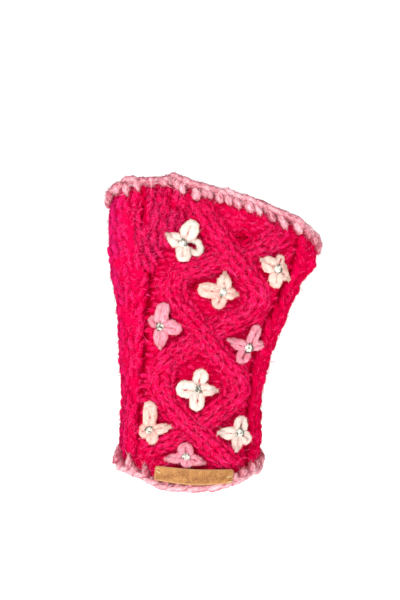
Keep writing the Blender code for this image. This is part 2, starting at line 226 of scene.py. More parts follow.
PETAL_KINDS = {
    # share of the half width that is yarn, how round the loop is (0 to 1), share of the girth at its tip
    "open": (0.52, 0.75, 0.9),
    "round": (0.60, 0.5, 0.95),
    "ball": (0.60, 0.6, 0.95),
    "pointed": (0.60, 0.65, 0.8),
}

# The first daisy's last petal is a loose loop that bends round: its middle line, from the centre
LOOSE_LOOP = [
    # x    height
    (2.2, 1.4),
    (5.0, 1.7),
    (7.5, 0.5),
    (8.5, -1.9),
    (7.9, -4.1),
    (6.2, -4.5),
    (4.5, -3.5),
    (3.0, -2.5),
]

# How far the edgings' legs reach down the knit, as a share of the usual, on the back of the hand
HAND_LEGS = [
    # x    share
    (-38.0, 1.0),
    (-35.0, 1.15),
    (-31.0, 1.45),
    (-27.0, 0.8),
    (-22.0, 0.65),
    (-17.0, 0.6),
    (-13.5, 1.15),
    (-10.0, 0.8),
    (-6.0, 1.15),
    (5.0, 1.1),
    (20.0, 0.95),
    (35.0, 1.05),
    (48.0, 1.2),
    (61.0, 1.1),
]
WRIST_LEGS = [
    (-34.0, 1.3),
    (-30.0, 1.45),
    (-25.0, 1.45),
    (-20.0, 1.2),
    (-15.0, 0.9),
    (0.0, 0.8),
    (17.0, 0.8),
    (20.5, 0.3),
    (22.5, 0.3),
    (25.0, 0.9),
    (30.0, 0.9),
    (33.0, 0.6),
]

# Curly hairs that stand off the knit: x, height, radius, first bearing and sweep in degrees
CURLS = [
    (1.0, 106.5, 3.0, 200, -190),
    (5.0, 104.0, 4.4, 160, -210),
    (7.5, 101.0, 2.6, 60, -150),
    (2.0, 101.5, 3.6, 100, 170),
    (-2.5, 103.5, 2.2, 30, 220),
    (8.6, 106.2, 3.4, 250, 140),
    (24.0, -10.0, 3.8, 110, 200),
    (27.5, -12.5, 4.5, 80, -170),
    (25.5, -15.0, 3.0, 20, 180),
    (21.0, -8.5, 2.6, 300, 160),
    (36.0, 84.5, 2.8, 200, -150),
    (46.0, 88.0, 3.2, 100, -170),
    (10.0, 30.0, 3.0, 40, 150),
    (-8.0, 36.0, 2.6, 120, 160),
]

BAND_ROWS = 31          # rows of the bands and of the palm, from rim to rim
THUMB_WALES = 3         # a wale is a column of knit stitches
OUTER_WALES = 2
PALM_WALES = 20
CABLE_WALES = 3
CABLE_PITCH = 4.6       # from row to row of a cable
WIDEST_WALE = 5.6       # no knit stitch is thicker than suits this width
CORNER_WIDTH = 4.1      # a wale in the corner over the first daisy
CORNER_PITCH = 4.0
PURL_WIDTH = 4.2
PURL_PITCH = 3.0
GUTTER_EXTRA = 0.35     # the gutters beside the bands are this much deeper still
CLOTH_DEPTH = 0.95      # the cloth lies this far under the CAD panel's outside, and the yarn fills it
YARN_PROUD = 0.25       # the yarn stands this far over it
INSIDE_PURL = 0.35      # the ripple of the cloth's inside
SIDE_TURN = 0.01        # the turn (radians) from the side seam to the first stitches of a band

# Gaps in the knit: the knit sinks there and is darkened with painted shade
PITS = [
    # x     height  reach  depth
    (-19.0, 80.9, 1.4, 1.8),
    (-19.4, 74.2, 1.6, 2.2),
    (-19.4, 68.1, 1.6, 2.2),
    (-20.8, 61.5, 2.2, 2.6),
    (-22.7, 44.9, 1.7, 2.0),
    (-22.2, 36.3, 1.9, 2.2),
    (-23.1, 18.8, 1.6, 2.0),
    (-26.5, -3.9, 1.6, 2.0),
    (2.4, 69.5, 2.2, 1.8),
    (24.9, 91.8, 3.4, 2.6),
    (-6.6, 23.1, 1.8, 1.6),
    (31.3, 29.7, 1.4, 1.2),
    (29.4, 10.3, 1.4, 1.2),
    (32.7, 1.3, 1.4, 1.2),
    (28.0, -7.2, 1.4, 1.2),
]
GROOVES = [
    # from x, height  to x, height  reach  depth
    (-22.2, 114.5, -21.7, 99.8, 1.9, 2.0),
    (-9.4, 113.6, -8.0, 106.9, 1.9, 1.5),
    (-29.1, 111.7, -28.8, 104.1, 1.5, 1.0),
    (44.6, 66.2, 35.1, 43.5, 1.6, 0.4),
]
# a pit is a groove of no length
SINKS = [(x, z, x, z, reach, depth) for x, z, reach, depth in PITS] + GROOVES

# Where the purled ground begins on the thumb side
GROUND_START = [
    # height  x
    (-28.8, -26.2),
    (0.8, -24.2),
    (36.4, -21.2),
    (61.0, -19.3),
    (72.0, -18.0),
    (78.0, -16.5),
    (86.0, -13.0),
    (94.0, -9.0),
]


# --- Curves through short tables --------------------------------------------------------------

def column(rows, index):
    return np.array([row[index] for row in rows], dtype=float)


def smooth(at, knots, values):
    """A smooth curve through a table, level past its ends."""
    at = np.clip(np.asarray(at, dtype=float), knots[0], knots[-1])
    slope = np.gradient(values, knots)
    k = np.clip(np.searchsorted(knots, at, side="right") - 1, 0, len(knots) - 2)
    span = knots[k + 1] - knots[k]
    f = (at - knots[k]) / span
    h00 = (1 + 2 * f) * (1 - f) ** 2
    h10 = f * (1 - f) ** 2
    h01 = f * f * (3 - 2 * f)
    h11 = f * f * (f - 1)
    return h00 * values[k] + h10 * span * slope[k] + h01 * values[k + 1] + h11 * span * slope[k + 1]


def curve_at(at, rows):
    """The smooth curve through a table of two columns."""
    return smooth(at, column(rows, 0), column(rows, 1))


def step_up(at, low, high):
    """0 below low, 1 above high, with a soft change between."""
    f = np.clip((at - low) / (high - low), 0.0, 1.0)
    return f * f * (3 - 2 * f)


def curve_points(rows, count):
    """Points at even steps of the table's own parameter, along a smooth curve through its rows."""
    knots = np.arange(len(rows), dtype=float)
    at = np.linspace(0.0, knots[-1], count)
    return np.stack([smooth(at, knots, column(rows, i)) for i in range(len(rows[0]))], axis=1)


# --- The tube ---------------------------------------------------------------------------------

def plan(turn, height):
    heights = column(SECTIONS, 0)
    left, right, depth, middle, square = (
        smooth(height, heights, column(SECTIONS, i)) for i in range(1, 6))
    half_x = (right - left) / 2
    half_y = depth / 2
    bearing = np.arctan2(np.sqrt(half_y / half_x) * np.sin(turn), np.cos(turn))
    across = np.abs(np.cos(bearing) / half_x) ** square
    along = np.abs(np.sin(bearing) / half_y) ** square
    reach = (across + along) ** (-1 / square)
    x = (left + right) / 2 - reach * np.cos(bearing)
    y = middle - reach * np.sin(bearing)
    sink = np.exp(-((x - WAIST_X) / WAIST_HALF_WIDTH) ** 2) * step_up(height, *WAIST_HEIGHTS)
    return x, y + sink * np.where(y < middle, WAIST_DEPTH_FRONT, -WAIST_DEPTH_PALM)


def section(turn, height):
    """A point of the tube's outside in plan, and the outward direction there.

    turn runs from 0 on the thumb side over the back of the hand (pi/2) to the outer side (pi)
    and back over the palm.
    """
    turn = np.asarray(turn, dtype=float)
    height = np.asarray(height, dtype=float)
    nudge = 0.02
    x, y = plan(turn, height)
    x0, y0 = plan(turn - nudge, height)
    x1, y1 = plan(turn + nudge, height)
    length = np.hypot(x1 - x0, y1 - y0)
    return x, y, (y1 - y0) / length, -(x1 - x0) / length


def tube_point(turn, height, outward=0.0):
    x, y, out_x, out_y = section(turn, height)
    return np.stack([x + outward * out_x, y + outward * out_y, height + 0.0 * x], axis=-1)


def tube_out(turn, height):
    x, _, out_x, out_y = section(turn, height)
    return np.stack([out_x, out_y, 0.0 * x], axis=-1)


def front_turn(x, height):
    """Where the tube's front passes a given x at a given height, for whole arrays."""
    low = np.zeros(np.shape(x))
    high = np.full(np.shape(x), math.pi)
    for _ in range(26):
        middle = (low + high) / 2
        short = plan(middle, height)[0] < x
        low = np.where(short, middle, low)
        high = np.where(short, high, middle)
    return (low + high) / 2


def rim_height(turn, rows, fall):
    """The finished rim's height: the table's on the back of the hand, fall further on over the palm."""
    level = np.full_like(np.asarray(turn, dtype=float), np.mean(column(rows, 1)))
    x, y = plan(turn, level)
    front = plan(np.full_like(x, math.pi / 2), level)[1]
    palm = plan(np.full_like(x, -math.pi / 2), level)[1]
    return curve_at(x, rows) + fall * (y - front) / (palm - front)


def hand_rim(turn):
    return rim_height(turn, HAND_RIM, -HAND_RIM_DROP)


def wrist_rim(turn):
    return rim_height(turn, WRIST_RIM, WRIST_RIM_RISE)


def wall_height(turn, up):
    """Height in the knit at a part of the way up from its wrist rim (0) to its hand rim (1)."""
    low = wrist_rim(turn) + EDGE_CAP
    high = hand_rim(turn) - EDGE_CAP
    return low + up * (high - low)


def rim_fade(turn, height):
    """1 in the panel's middle, 0 where the crocheted edges cover it."""
    from_hand = hand_rim(turn) - EDGE_CAP - height
    from_wrist = height - wrist_rim(turn) - EDGE_CAP
    return step_up(np.minimum(from_hand, from_wrist), *RELIEF_FADE)


# --- Relief -----------------------------------------------------------------------------------

def off_cable(x, height, rows):
    """Distance from a cable's middle line, and the crest's height at its nearest point."""
    route = curve_points(rows, 12 * len(rows))
    apart = np.hypot(x[..., None] - route[:, 0], height[..., None] - route[:, 1])
    return apart.min(axis=-1), route[apart.argmin(axis=-1), 2]


def cable_relief(x, height, rows):
    apart, crest = off_cable(x, height, rows)
    return crest * (1 - np.clip(apart / CABLE_HALF_WIDTH, 0.0, 1.0) ** 2.4)


def front_relief(turn, height):
    """How far the CAD's cable panel stands over the plain tube."""
    x = plan(turn, height)[0]
    thumb_side = curve_at(height, THUMB_GUTTER)
    outer_side = curve_at(height, OUTER_GUTTER)
    band = BAND_RISE * (step_up(thumb_side - x, 0.5, 3.5) + step_up(x - outer_side, 0.5, 3.5))
    off_gutter = np.minimum(np.abs(x - thumb_side), np.abs(x - outer_side))
    groove = GROOVE_DEPTH * (1 - step_up(off_gutter, 0.0, GROOVE_HALF_WIDTH))
    cables = np.maximum(cable_relief(x, height, CABLE_A), cable_relief(x, height, CABLE_B))
    return (np.maximum(band, cables) - groove) * rim_fade(turn, height)


def pit_depth(x, height):
    """How deep the pits and grooves sink the knit."""
    depth = np.zeros(np.shape(x))
    for x0, z0, x1, z1, reach, deep in SINKS:
        length = max((x1 - x0) ** 2 + (z1 - z0) ** 2, 1e-6)
        along = np.clip(((x - x0) * (x1 - x0) + (height - z0) * (z1 - z0)) / length, 0.0, 1.0)
        off = np.hypot(x - x0 - along * (x1 - x0), height - z0 - along * (z1 - z0))
        depth = np.maximum(depth, deep * np.exp(-(off / reach) ** 2))
    return depth


def band_relief(turn, height):
    """The bands' height with the pits sunk in."""
    return front_relief(turn, height) - 0.7 * pit_depth(plan(turn, height)[0], height)


def palm_relief(turn, height):
    return BAND_RISE * rim_fade(turn, height)


# --- Meshes -----------------------------------------------------------------------------------

def unit(vectors):
    length = np.linalg.norm(vectors, axis=-1, keepdims=True)
    return vectors / np.maximum(length, 1e-9)


def linked(name, mesh):
    """An object of the mesh, in the scene."""
    made = bpy.data.objects.new(name, mesh)
    bpy.context.scene.collection.objects.link(made)
    return made


def bmesh_object(name, work, finish):
    """An object of a bmesh, which is freed."""
    mesh = bpy.data.meshes.new(name)
    work.to_mesh(mesh)
    work.free()
    mesh.materials.append(finish)
    return linked(name, mesh)


def mesh_object(name, points, faces, finish, uv, notes, normals=None):
    """One piece from millimetre points and arrays of faces, with UVs by corner and notes by point."""
    mesh = bpy.data.meshes.new(name)
    mesh.vertices.add(len(points))
    mesh.vertices.foreach_set("co", (np.asarray(points) * MM).astype(np.float32).ravel())
    corners = np.concatenate([f.ravel() for f in faces])
    totals = np.concatenate([np.full(len(f), f.shape[1]) for f in faces])
    starts = np.concatenate([[0], np.cumsum(totals)[:-1]])
    mesh.loops.add(len(corners))
    mesh.loops.foreach_set("vertex_index", corners.astype(np.int32))
    mesh.polygons.add(len(totals))
    mesh.polygons.foreach_set("loop_start", starts.astype(np.int32))
    mesh.polygons.foreach_set("loop_total", totals.astype(np.int32))
    mesh.update(calc_edges=True)
    layer = mesh.uv_layers.new(name="OFBake")
    corner_uv = np.concatenate([u.reshape(-1, 2) for u in uv])
    layer.uv.foreach_set("vector", corner_uv.astype(np.float32).ravel())
    for label, values in notes.items():
        kind, field = ("FLOAT", "value") if values.ndim == 1 else ("FLOAT_VECTOR", "vector")
        made = mesh.attributes.new(label, kind, "POINT")
        made.data.foreach_set(field, values.astype(np.float32).ravel())
    mesh.shade_smooth()
    if normals is not None:
        mesh.normals_split_custom_set_from_vertices(normals)
    mesh.materials.append(finish)
    piece = linked(name, mesh)
    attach(piece, "root")
    return piece


def cell_corners(first, count, cells):
    """The low corners of a square UV map's cells, from a number on."""
    number = first + np.arange(count)
    return np.stack([number % cells, number // cells], axis=-1)


def shell(rows, columns, u_end, v_end, back, rim_share, rim_corners):
    """Faces and UVs of a thin sheet: a grid of points, then the same grid behind it, and the rim between.

    The front's UVs end at u_end and v_end, the back's are moved on by back, and the rim's faces lie in a
    row, each with rim_corners and all of them rim_share wide.
    """
    wide = columns + 1
    index = np.arange((rows + 1) * wide).reshape(rows + 1, wide)
    front = np.stack([index[:-1, :-1], index[:-1, 1:], index[1:, 1:], index[1:, :-1]], axis=-1).reshape(-1, 4)
    rim = np.concatenate([index[0, :], index[1:, -1], index[-1, -2::-1], index[-2:0:-1, 0]])
    after = np.roll(rim, -1)
    edge = np.stack([after, rim, rim + index.size, after + index.size], axis=-1)
    u, v = np.meshgrid(np.linspace(0.01, u_end, wide), np.linspace(0.01, v_end, rows + 1))
    front_uv = np.stack([u, v], axis=-1).reshape(-1, 2)[front]
    along = np.arange(len(rim)) / len(rim) * rim_share
    edge_uv = np.array(rim_corners) + np.stack([along, 0 * rim], axis=-1)[:, None, :]
    return [front, front[:, ::-1] + index.size, edge], [front_uv, front_uv[:, ::-1] + back, edge_uv]


def strand(
        paths, radius, out, sides=8, plies=2, groove=0.14, twist=0.9, flat=1.0, shade=None,
        sunk=0.0, under=0.0):
    """Tubes of plied yarn: paths (strands, stations, 3), radius to match, out the side that faces away.

    twist is the plies' turn in radians a millimetre, and flat squeezes the tube square to out. sunk
    darkens the colour towards the ends and under on the side that faces the cloth, both as painted shade.
    """
    count, stations, _ = paths.shape
    radius = np.broadcast_to(radius, (count, stations))
    tangent = unit(np.gradient(paths, axis=1))
    side = unit(np.cross(np.broadcast_to(out, paths.shape), tangent))
    up = np.cross(tangent, side)
    step = np.linalg.norm(np.diff(paths, axis=1), axis=2)
    run = np.concatenate([np.zeros((count, 1)), np.cumsum(step, axis=1)], axis=1)
    angle = 2 * np.pi * np.arange(sides) / sides - np.pi / 2
    start = draw.uniform(0, 2 * np.pi, (count, 1, 1))
    lobes = 1 + groove * np.cos(plies * (angle + twist * run[..., None] + start))
    reach = (radius[..., None] * lobes / (1 + groove))[..., None]
    sideways = np.cos(angle)[:, None] * side[:, :, None, :]
    ring = reach * (sideways + flat * np.sin(angle)[:, None] * up[:, :, None, :])
    points = paths[:, :, None, :] + ring
    offset = draw.uniform(0, 40, (count, 1, 1))
    fibre = np.stack([
        np.broadcast_to(run[..., None] + offset, points.shape[:3]),
        np.broadcast_to(np.cos(angle), points.shape[:3]),
        np.broadcast_to(np.sin(angle), points.shape[:3])], axis=-1)
    if shade is None:
        shade = draw.uniform(0, 1, count)
    # painted shade: darker towards the ends, where the strand dives, and on its side towards the cloth
    ends = 1 - np.sin(np.pi * np.linspace(0.0, 1.0, stations)) ** 0.6
    shade = (np.asarray(shade)[:, None] - sunk * ends)[:, :, None] - under * (1 - np.sin(angle)) / 2
    return {
        "points": points,
        "fibre": fibre,
        "shade": np.broadcast_to(shade, points.shape[:3]),
        "ring": ring,
        "tangent": tangent,
        "face": np.broadcast_to(out, paths.shape),
    }


def on_tube(turn, height, outward, radius, kept=slice(None), **looks):
    """Strands that lie outward from the tube's outside. kept says which of them are made."""
    paths = tube_point(turn, height, outward)[kept]
    return strand(paths, radius[kept], tube_out(turn, height)[kept], **looks)


def yarn(name, strands, finish):
    """One piece from several sets of strands. Each strand has its own cell of the UV map."""
    total = sum(len(s["points"]) for s in strands)
    cells = math.ceil(math.sqrt(total))
    margin = 0.06
    points, quads, quad_uv, caps, cap_uv, fibre, shade = [], [], [], [], [], [], []
    first = 0
    strand_number = 0
    for s in strands:
        count, stations, sides, _ = s["points"].shape
        index = first + np.arange(count * stations * sides).reshape(count, stations, sides)
        after = np.roll(index, -1, axis=2)
        quads.append(np.stack([
            index[:, :-1], after[:, :-1], after[:, 1:], index[:, 1:]], axis=-1).reshape(-1, 4))
        corner = cell_corners(strand_number, count, cells)[:, None, None, :]
        u = margin + (1 - 2 * margin) * np.arange(stations) / (stations - 1)
        v = margin + (1 - 2 * margin) * np.arange(sides + 1) / sides
        grid = (corner + np.stack(np.broadcast_arrays(u[:, None], v[None, :]), axis=-1)) / cells
        cell_uv = np.stack([grid[:, :-1, :-1], grid[:, :-1, 1:], grid[:, 1:, 1:], grid[:, 1:, :-1]], axis=-2)
        quad_uv.append(cell_uv.reshape(-1, 4, 2))
        caps.append((index[:, 0, ::-1], index[:, -1, :]))
        cap_uv.append((grid[:, 0, -2::-1], grid[:, -1, :-1]))
        points.append(s["points"].reshape(-1, 3))
        fibre.append(s["fibre"].reshape(-1, 3))
        shade.append(s["shade"].ravel())
        first += count * stations * sides
        strand_number += count
    faces = quads + [c for pair in caps for c in pair]
    uv = quad_uv + [c for pair in cap_uv for c in pair]
    points = np.concatenate(points)
    # painted shade: yarn on the front is darkened where it sinks into the pits and grooves
    deep = np.where(points[:, 1] < 0, pit_depth(points[:, 0], points[:, 2]), 0.0)
    notes = {"fibre": np.concatenate(fibre), "shade": np.concatenate(shade) - 0.8 * deep}
    return mesh_object(name, points, faces, finish, uv, notes)


# --- Materials --------------------------------------------------------------------------------

class Material:
    """A node material that is being made."""

    def __init__(self, name):
        self.made = bpy.data.materials.new(name)
        self.made.use_nodes = True
        self.tree = self.made.node_tree
        self.shader = self.tree.nodes["Principled BSDF"]

    def fill(self, node, inputs):
        """Links each input to the output given for it, or sets it to the value."""
        for name, value in inputs.items():
            if isinstance(value, bpy.types.NodeSocket):
                self.tree.links.new(value, node.inputs[name])
            else:
                node.inputs[name].default_value = value

    def node(self, kind, inputs, **settings):
        made = self.tree.nodes.new("ShaderNode" + kind)
        for name, value in settings.items():
            setattr(made, name, value)
        self.fill(made, inputs)
        return made

    def note(self, name):
        return self.node("Attribute", {}, attribute_name=name).outputs["Fac"]

    def place(self):
        return self.node("TexCoord", {}).outputs["Object"]

    def noise(self, where, scale, detail, rough):
        inputs = {"Vector": where, "Scale": scale, "Detail": detail, "Roughness": rough}
        return self.node("TexNoise", inputs).outputs["Fac"]

    def weigh(self, terms):
        """The weighted sum of several numbers: (output, weight) pairs."""
        total = 0.0
        for output, weight in terms:
            total = self.node("Math", {0: output, 1: weight, 2: total}, operation="MULTIPLY_ADD").outputs[0]
        return total

    def span(self, value, low, high):
        return self.node("MapRange", {"Value": value, "To Min": low, "To Max": high}).outputs["Result"]

    def ramp(self, value, stops):
        """A colour by a number, from (place, colour) pairs."""
        made = self.node("ValToRGB", {"Fac": value})
        elements = made.color_ramp.elements
        while len(elements) < len(stops):
            elements.new(0.5)
        for element, (place, colour) in zip(elements, stops):
            element.position = place
            element.color = (*colour, 1.0)
        return made.outputs["Color"]

    def mix(self, share, colour, target):
        inputs = {"Factor": share, "A": colour, "B": (*target, 1.0)}
        return self.node("Mix", inputs, data_type="RGBA").outputs["Result"]

    def bump(self, terms, strength, distance):
        inputs = {"Height": self.weigh(terms), "Strength": strength, "Distance": distance}
        return self.node("Bump", inputs).outputs["Normal"]


# How a wool's colour is mixed: the weights of the streaks, patches, specks and shade note, and the places of
# its colours. The shade note holds each strand's random tone and the painted shade and light laid onto it
EVEN_DYE = ((1.0, 0.3, 0.3, 0.08), (0.61, 0.83, 0.95))
MOTTLED = ((1.0, 0.25, 0.3, 0.15), (0.62, 0.83, 1.0))
STREAKED = ((0.5, 0.2, 0.2, 0.6), (0.48, 0.76, 0.98))
GRAINY = ((0.4, 0.2, 0.2, 1.0), (0.50, 0.92, 1.50))

# Painted light and shade over the thumb side: the wool there shifts to a darker, more purple colour, for the
# sheen at its edge and its turn from the light. The colour, where it begins and is full, and its share
THUMB_SIDE_PAINTED_TINT = ((0.82, 0.014, 0.20), -29.0, -38.5, 0.65)


def wool(name, colours, bump, dye=EVEN_DYE, sheen=0.06, tint=None, soft=0.0):
    """Fuzzy wool in a dark, a middle and a light colour, with fibres that run along the yarn."""
    weights, stops = dye
    work = Material(name)
    fibre = work.node("Attribute", {}, attribute_name="fibre").outputs["Vector"]
    stretched = work.node("VectorMath", {0: fibre, 1: (0.28, 1.0, 1.0)}, operation="MULTIPLY").outputs[0]
    where = work.place()
    streaks = work.noise(stretched, 2.4, 4.0, 0.7)
    patches = work.noise(where, 160.0, 2.0, 0.5)
    specks = work.noise(where, 1500.0, 2.0, 0.7)
    mixed = work.weigh(zip((streaks, patches, specks, work.note("shade")), weights))
    colour = work.ramp(mixed, list(zip(stops, colours)))
    # the tint paints light and shade over the thumb side
    if tint:
        target, start, end, share = tint
        x = work.node("SeparateXYZ", {0: where}).outputs["X"]
        limits = {"Value": x, "From Min": start * MM, "From Max": end * MM, "To Max": share}
        colour = work.mix(work.node("MapRange", limits).outputs["Result"], colour, target)
    work.fill(work.shader, {
        "Base Color": colour,
        "Roughness": work.span(streaks, 0.78, 0.98),
        "Sheen Weight": sheen,
        "Sheen Roughness": 0.5,
        "Sheen Tint": (*(0.94 * c + 0.06 for c in colours[2]), 1.0),
        "Specular IOR Level": 0.0,
        "Subsurface Weight": soft,
        "Subsurface Radius": (0.45, 1.0, 1.0),
        "Subsurface Scale": 0.0010,
        "Normal": work.bump([(streaks, 1.0), (specks, 0.6)], bump, 0.0005),
    })
    return work.made


def crimson(name, colours, bump, dye):
    # the crimson wools carry the painted tint over the thumb side
    return wool(name, colours, bump, dye, 0.0, THUMB_SIDE_PAINTED_TINT)


CRIMSON = crimson(
    "crimson_wool_yarn", ((0.60, 0.0, 0.036), (0.90, 0.0, 0.080), (1.0, 0.02, 0.18)), 0.7, MOTTLED)
CRIMSON_FUZZ = crimson(
    "crimson_wool_fuzz", ((0.66, 0.0, 0.040), (0.90, 0.0, 0.092), (1.0, 0.074, 0.28)), 0.2, STREAKED)
CRIMSON_NAP = crimson(
    "crimson_wool_nap", ((0.52, 0.0, 0.032), (0.86, 0.0, 0.080), (1.0, 0.050, 0.24)), 0.2, GRAINY)
# the ground's wool is darker than the yarn, as painted shade between the stitches; the petals' slits use it
# too
CRIMSON_PAINTED_SHADE = wool(
    "crimson_wool_painted_shade", ((0.36, 0.0, 0.015), (0.66, 0.0, 0.045), (0.84, 0.002, 0.080)), 0.8, MOTTLED)
TRIM_PINK = wool(
    "pale_pink_yarn", ((0.48, 0.08, 0.13), (0.88, 0.38, 0.44), (1.0, 0.70, 0.74)), 0.8, MOTTLED)
TRIM_FUZZ = wool(
    "pale_pink_fuzz", ((0.70, 0.22, 0.29), (0.95, 0.46, 0.52), (1.0, 0.75, 0.79)), 0.2, STREAKED)
# each dye's dark colour is pinker than the yarn: partly random tone, partly painted light thrown back from
# the crimson knit onto the petals' shaded sides
PETALS = {dye: wool(dye + "_yarn", colours, 0.6, soft=0.5) for dye, colours in {
    "cream": ((0.97, 0.46, 0.42), (1.0, 0.80, 0.71), (1.0, 0.92, 0.82)),
    "peach": ((0.94, 0.36, 0.31), (1.0, 0.66, 0.57), (1.0, 0.80, 0.69)),
    "pink": ((0.70, 0.15, 0.22), (0.94, 0.36, 0.45), (1.0, 0.54, 0.61)),
}.items()}
THREAD = wool("straw_thread", ((0.62, 0.38, 0.16), (0.80, 0.57, 0.30), (0.92, 0.74, 0.46)), 0.4)


# --- Cloth ------------------------------------------------------------------------------------

def cloth(name, start, end, columns, rows, relief, node):
    """A knitted panel's ground: a thin shell between the yarn's roots and a purled inside."""
    turn = np.broadcast_to(np.linspace(start, end, columns + 1), (rows + 1, columns + 1))
    up = np.linspace(0.0, 1.0, rows + 1)[:, None]
    height = wall_height(turn, up)
    x = plan(turn, height)[0]
    past_thumb = curve_at(height, THUMB_GUTTER) - x
    depth = relief(turn, height) - CLOTH_DEPTH
    if node == "cable_panel":
        off_outer = np.abs(x - curve_at(height, OUTER_GUTTER))
        below_corner = 1 - step_up(height, 74.0, 88.0)
        thumb_gutter = (1 - step_up(np.abs(past_thumb), 0.4, 2.4)) * below_corner
        gutter = np.maximum(thumb_gutter, 1 - step_up(off_outer, 0.4, 2.4))
        depth = depth - GUTTER_EXTRA * gutter - pit_depth(x, height)
        # the outside stays clear of the inside
        depth = np.maximum(depth, 0.5 - WALL)
    outside = tube_point(turn, height, depth)
    purl = np.sin(np.pi * up * BAND_ROWS * 2) * np.cos(20 * (turn - start))
    inside = tube_point(turn, height, -WALL - INSIDE_PURL * purl)
    points = np.concatenate([outside.reshape(-1, 3), inside.reshape(-1, 3)])
    run = np.concatenate([x.ravel(), x.ravel()])
    fibre = np.stack([run * 0.6, points[:, 2] * 0.8, points[:, 1] * 0.5], axis=-1)
    # painted shade: the ground is darkened where it sinks into the pits and gutters
    sunk = step_up(-CLOTH_DEPTH - depth, 0.1, 1.0)
    # the painted shade is eased over the thumb and along the top
    lighter = np.maximum(step_up(past_thumb, 0.5, 3.0), step_up(height, 96.0, 104.0))
    shade = 0.5 - 2.5 * sunk + 0.6 * lighter
    notes = {"fibre": fibre, "shade": np.concatenate([shade.ravel(), np.full(x.size, 0.4)])}
    rim_corners = [[0.0, 0.985], [0.001, 0.985], [0.001, 0.995], [0.0, 0.995]]
    faces, uv = shell(rows, columns, 0.49, 0.97, (0.5, 0.0), 0.99, rim_corners)
    piece = mesh_object(name, points, faces, CRIMSON_PAINTED_SHADE, uv, notes)
    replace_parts(piece, node)
    return piece


# --- Knit stitches ----------------------------------------------------------------------------

def leg_course(side, jitter, dip, overlap, slant, stations):
    """One leg of a knit stitch in its own units: across (wales), along (rows), rise and girth (radii)."""
    s = np.linspace(0.0, 1.0, stations)
    arch = np.sin(np.pi * s)
    across = side * (0.04 + slant * np.sin(0.56 * np.pi * s))
    along = 0.55 + overlap * (s - 0.5)
    rise = 0.35 - dip * (1 - arch ** 0.7)
    girth = np.maximum(0.06, (0.55 + 0.45 * arch) * np.minimum(1.0, 6 * np.minimum(s, 1 - s) + 0.3))
    return across + jitter[0], along + jitter[1], rise + jitter[2], girth * (1 + jitter[3])


def stockinette(wales, rows, place, dip, uneven, overlap, slant=0.38, stations=9):
    """All legs of a block of knit stitches. place(across, along, rise, girth) makes their strands.

    dip is how deep the ends go, uneven how irregular the stitches are, overlap a leg's length in rows,
    and slant how far its top leans out.
    """
    wale, row, side = (a.ravel() for a in np.meshgrid(
        np.arange(wales), np.arange(rows), (-1, 1), indexing="ij"))
    sizes = uneven * np.array([0.018, 0.05, 0.10, 0.05])
    jitter = draw.normal(0, 1, (4, len(wale), 1)) * sizes[:, None, None]
    across, along, rise, girth = leg_course(side[:, None], jitter, dip, overlap, slant, stations)
    return place(wale[:, None] + 0.5 + across, row[:, None] + along, rise, girth)


def band_place(wales, low_turn, high_turn, relief, girth_share, lift, sides, flat):
    """Lays stitches on the tube between two sides that may move with the height."""
    def place(across, along, rise, girth):
        up = np.clip(along / BAND_ROWS, 0.0, 1.0)
        guess = wall_height((low_turn(0 * up) + high_turn(0 * up)) / 2, up)
        part = across / wales
        for _ in range(2):
            turn = low_turn(guess) + part * (high_turn(guess) - low_turn(guess))
            guess = wall_height(turn, up)
        left = tube_point(low_turn(guess), guess)
        right = tube_point(high_turn(guess), guess)
        middle = tube_point((low_turn(guess) + high_turn(guess)) / 2, guess)
        chords = np.linalg.norm(middle - left, axis=-1) + np.linalg.norm(right - middle, axis=-1)
        radius = girth_share * np.minimum(chords / wales, WIDEST_WALE)
        outward = relief(turn, guess) + YARN_PROUD + lift + (rise - 0.35 - flat) * radius
        return on_tube(turn, guess, outward, radius * girth, sides=sides, flat=flat)
    return place


def fixed_turn(turn):
    return lambda height: turn + 0.0 * height


def thumb_gutter_turn(height):
    return front_turn(curve_at(height, THUMB_GUTTER) - 1.0, height)


def outer_gutter_turn(height):
    return front_turn(curve_at(height, OUTER_GUTTER) + 1.0, height)


def cable_route(rows):
    """A cable's middle line by length: a function giving x, height, crest and the direction at a distance."""
    route = curve_points(rows, 500)
    step = np.hypot(*np.diff(route[:, :2], axis=0).T)
    run = np.concatenate([[0.0], np.cumsum(step)])
    even = np.linspace(0, run[-1], 500)
    table = np.stack([np.interp(even, run, route[:, i]) for i in range(3)], axis=1)
    direction = unit(np.gradient(table[:, :2], axis=0))

    def at(distance):
        beyond = distance - np.clip(distance, 0, run[-1])
        values = [np.interp(distance, even, table[:, i]) for i in range(3)]
        values += [np.interp(distance, even, direction[:, i]) for i in range(2)]
        values[0] = values[0] + beyond * values[3]
        values[1] = values[1] + beyond * values[4]
        return values

    return at, run[-1]


def cable_stitches(rows):
    """A cable's legs. The rows run from the hand down, so its stitches are laid from the far end up."""
    at, length = cable_route(rows)
    pitches = int(length / CABLE_PITCH)

    def place(across, along, rise, girth):
        x, height, crest, dir_x, dir_z = at(length - along * CABLE_PITCH)
        # a cable is widest where it runs straight along the hand
        half_width = 4.9 + 1.5 * np.abs(dir_z) ** 4
        off = (across / CABLE_WALES * 2 - 1) * half_width
        px = x + off * dir_z
        pz = height - off * dir_x
        turn = front_turn(px, pz)
        radius = 0.37 * 2 * half_width / CABLE_WALES
        crown = (crest + 0.8) * (1 - np.minimum(1.0, np.abs(off) / 6.3) ** 2.6) * rim_fade(turn, pz)
        crown = crown - 0.6 * pit_depth(px, pz)
        outward = crown + YARN_PROUD + (rise - 1.35) * radius
        kept = (pz < hand_rim(turn) - EDGE_CAP).all(axis=1) & (pz > wrist_rim(turn) + EDGE_CAP).all(axis=1)
        return on_tube(turn, pz, outward, radius * girth, kept)

    return stockinette(CABLE_WALES, pitches, place, dip=1.0, uneven=1.8, overlap=1.45, slant=0.42)


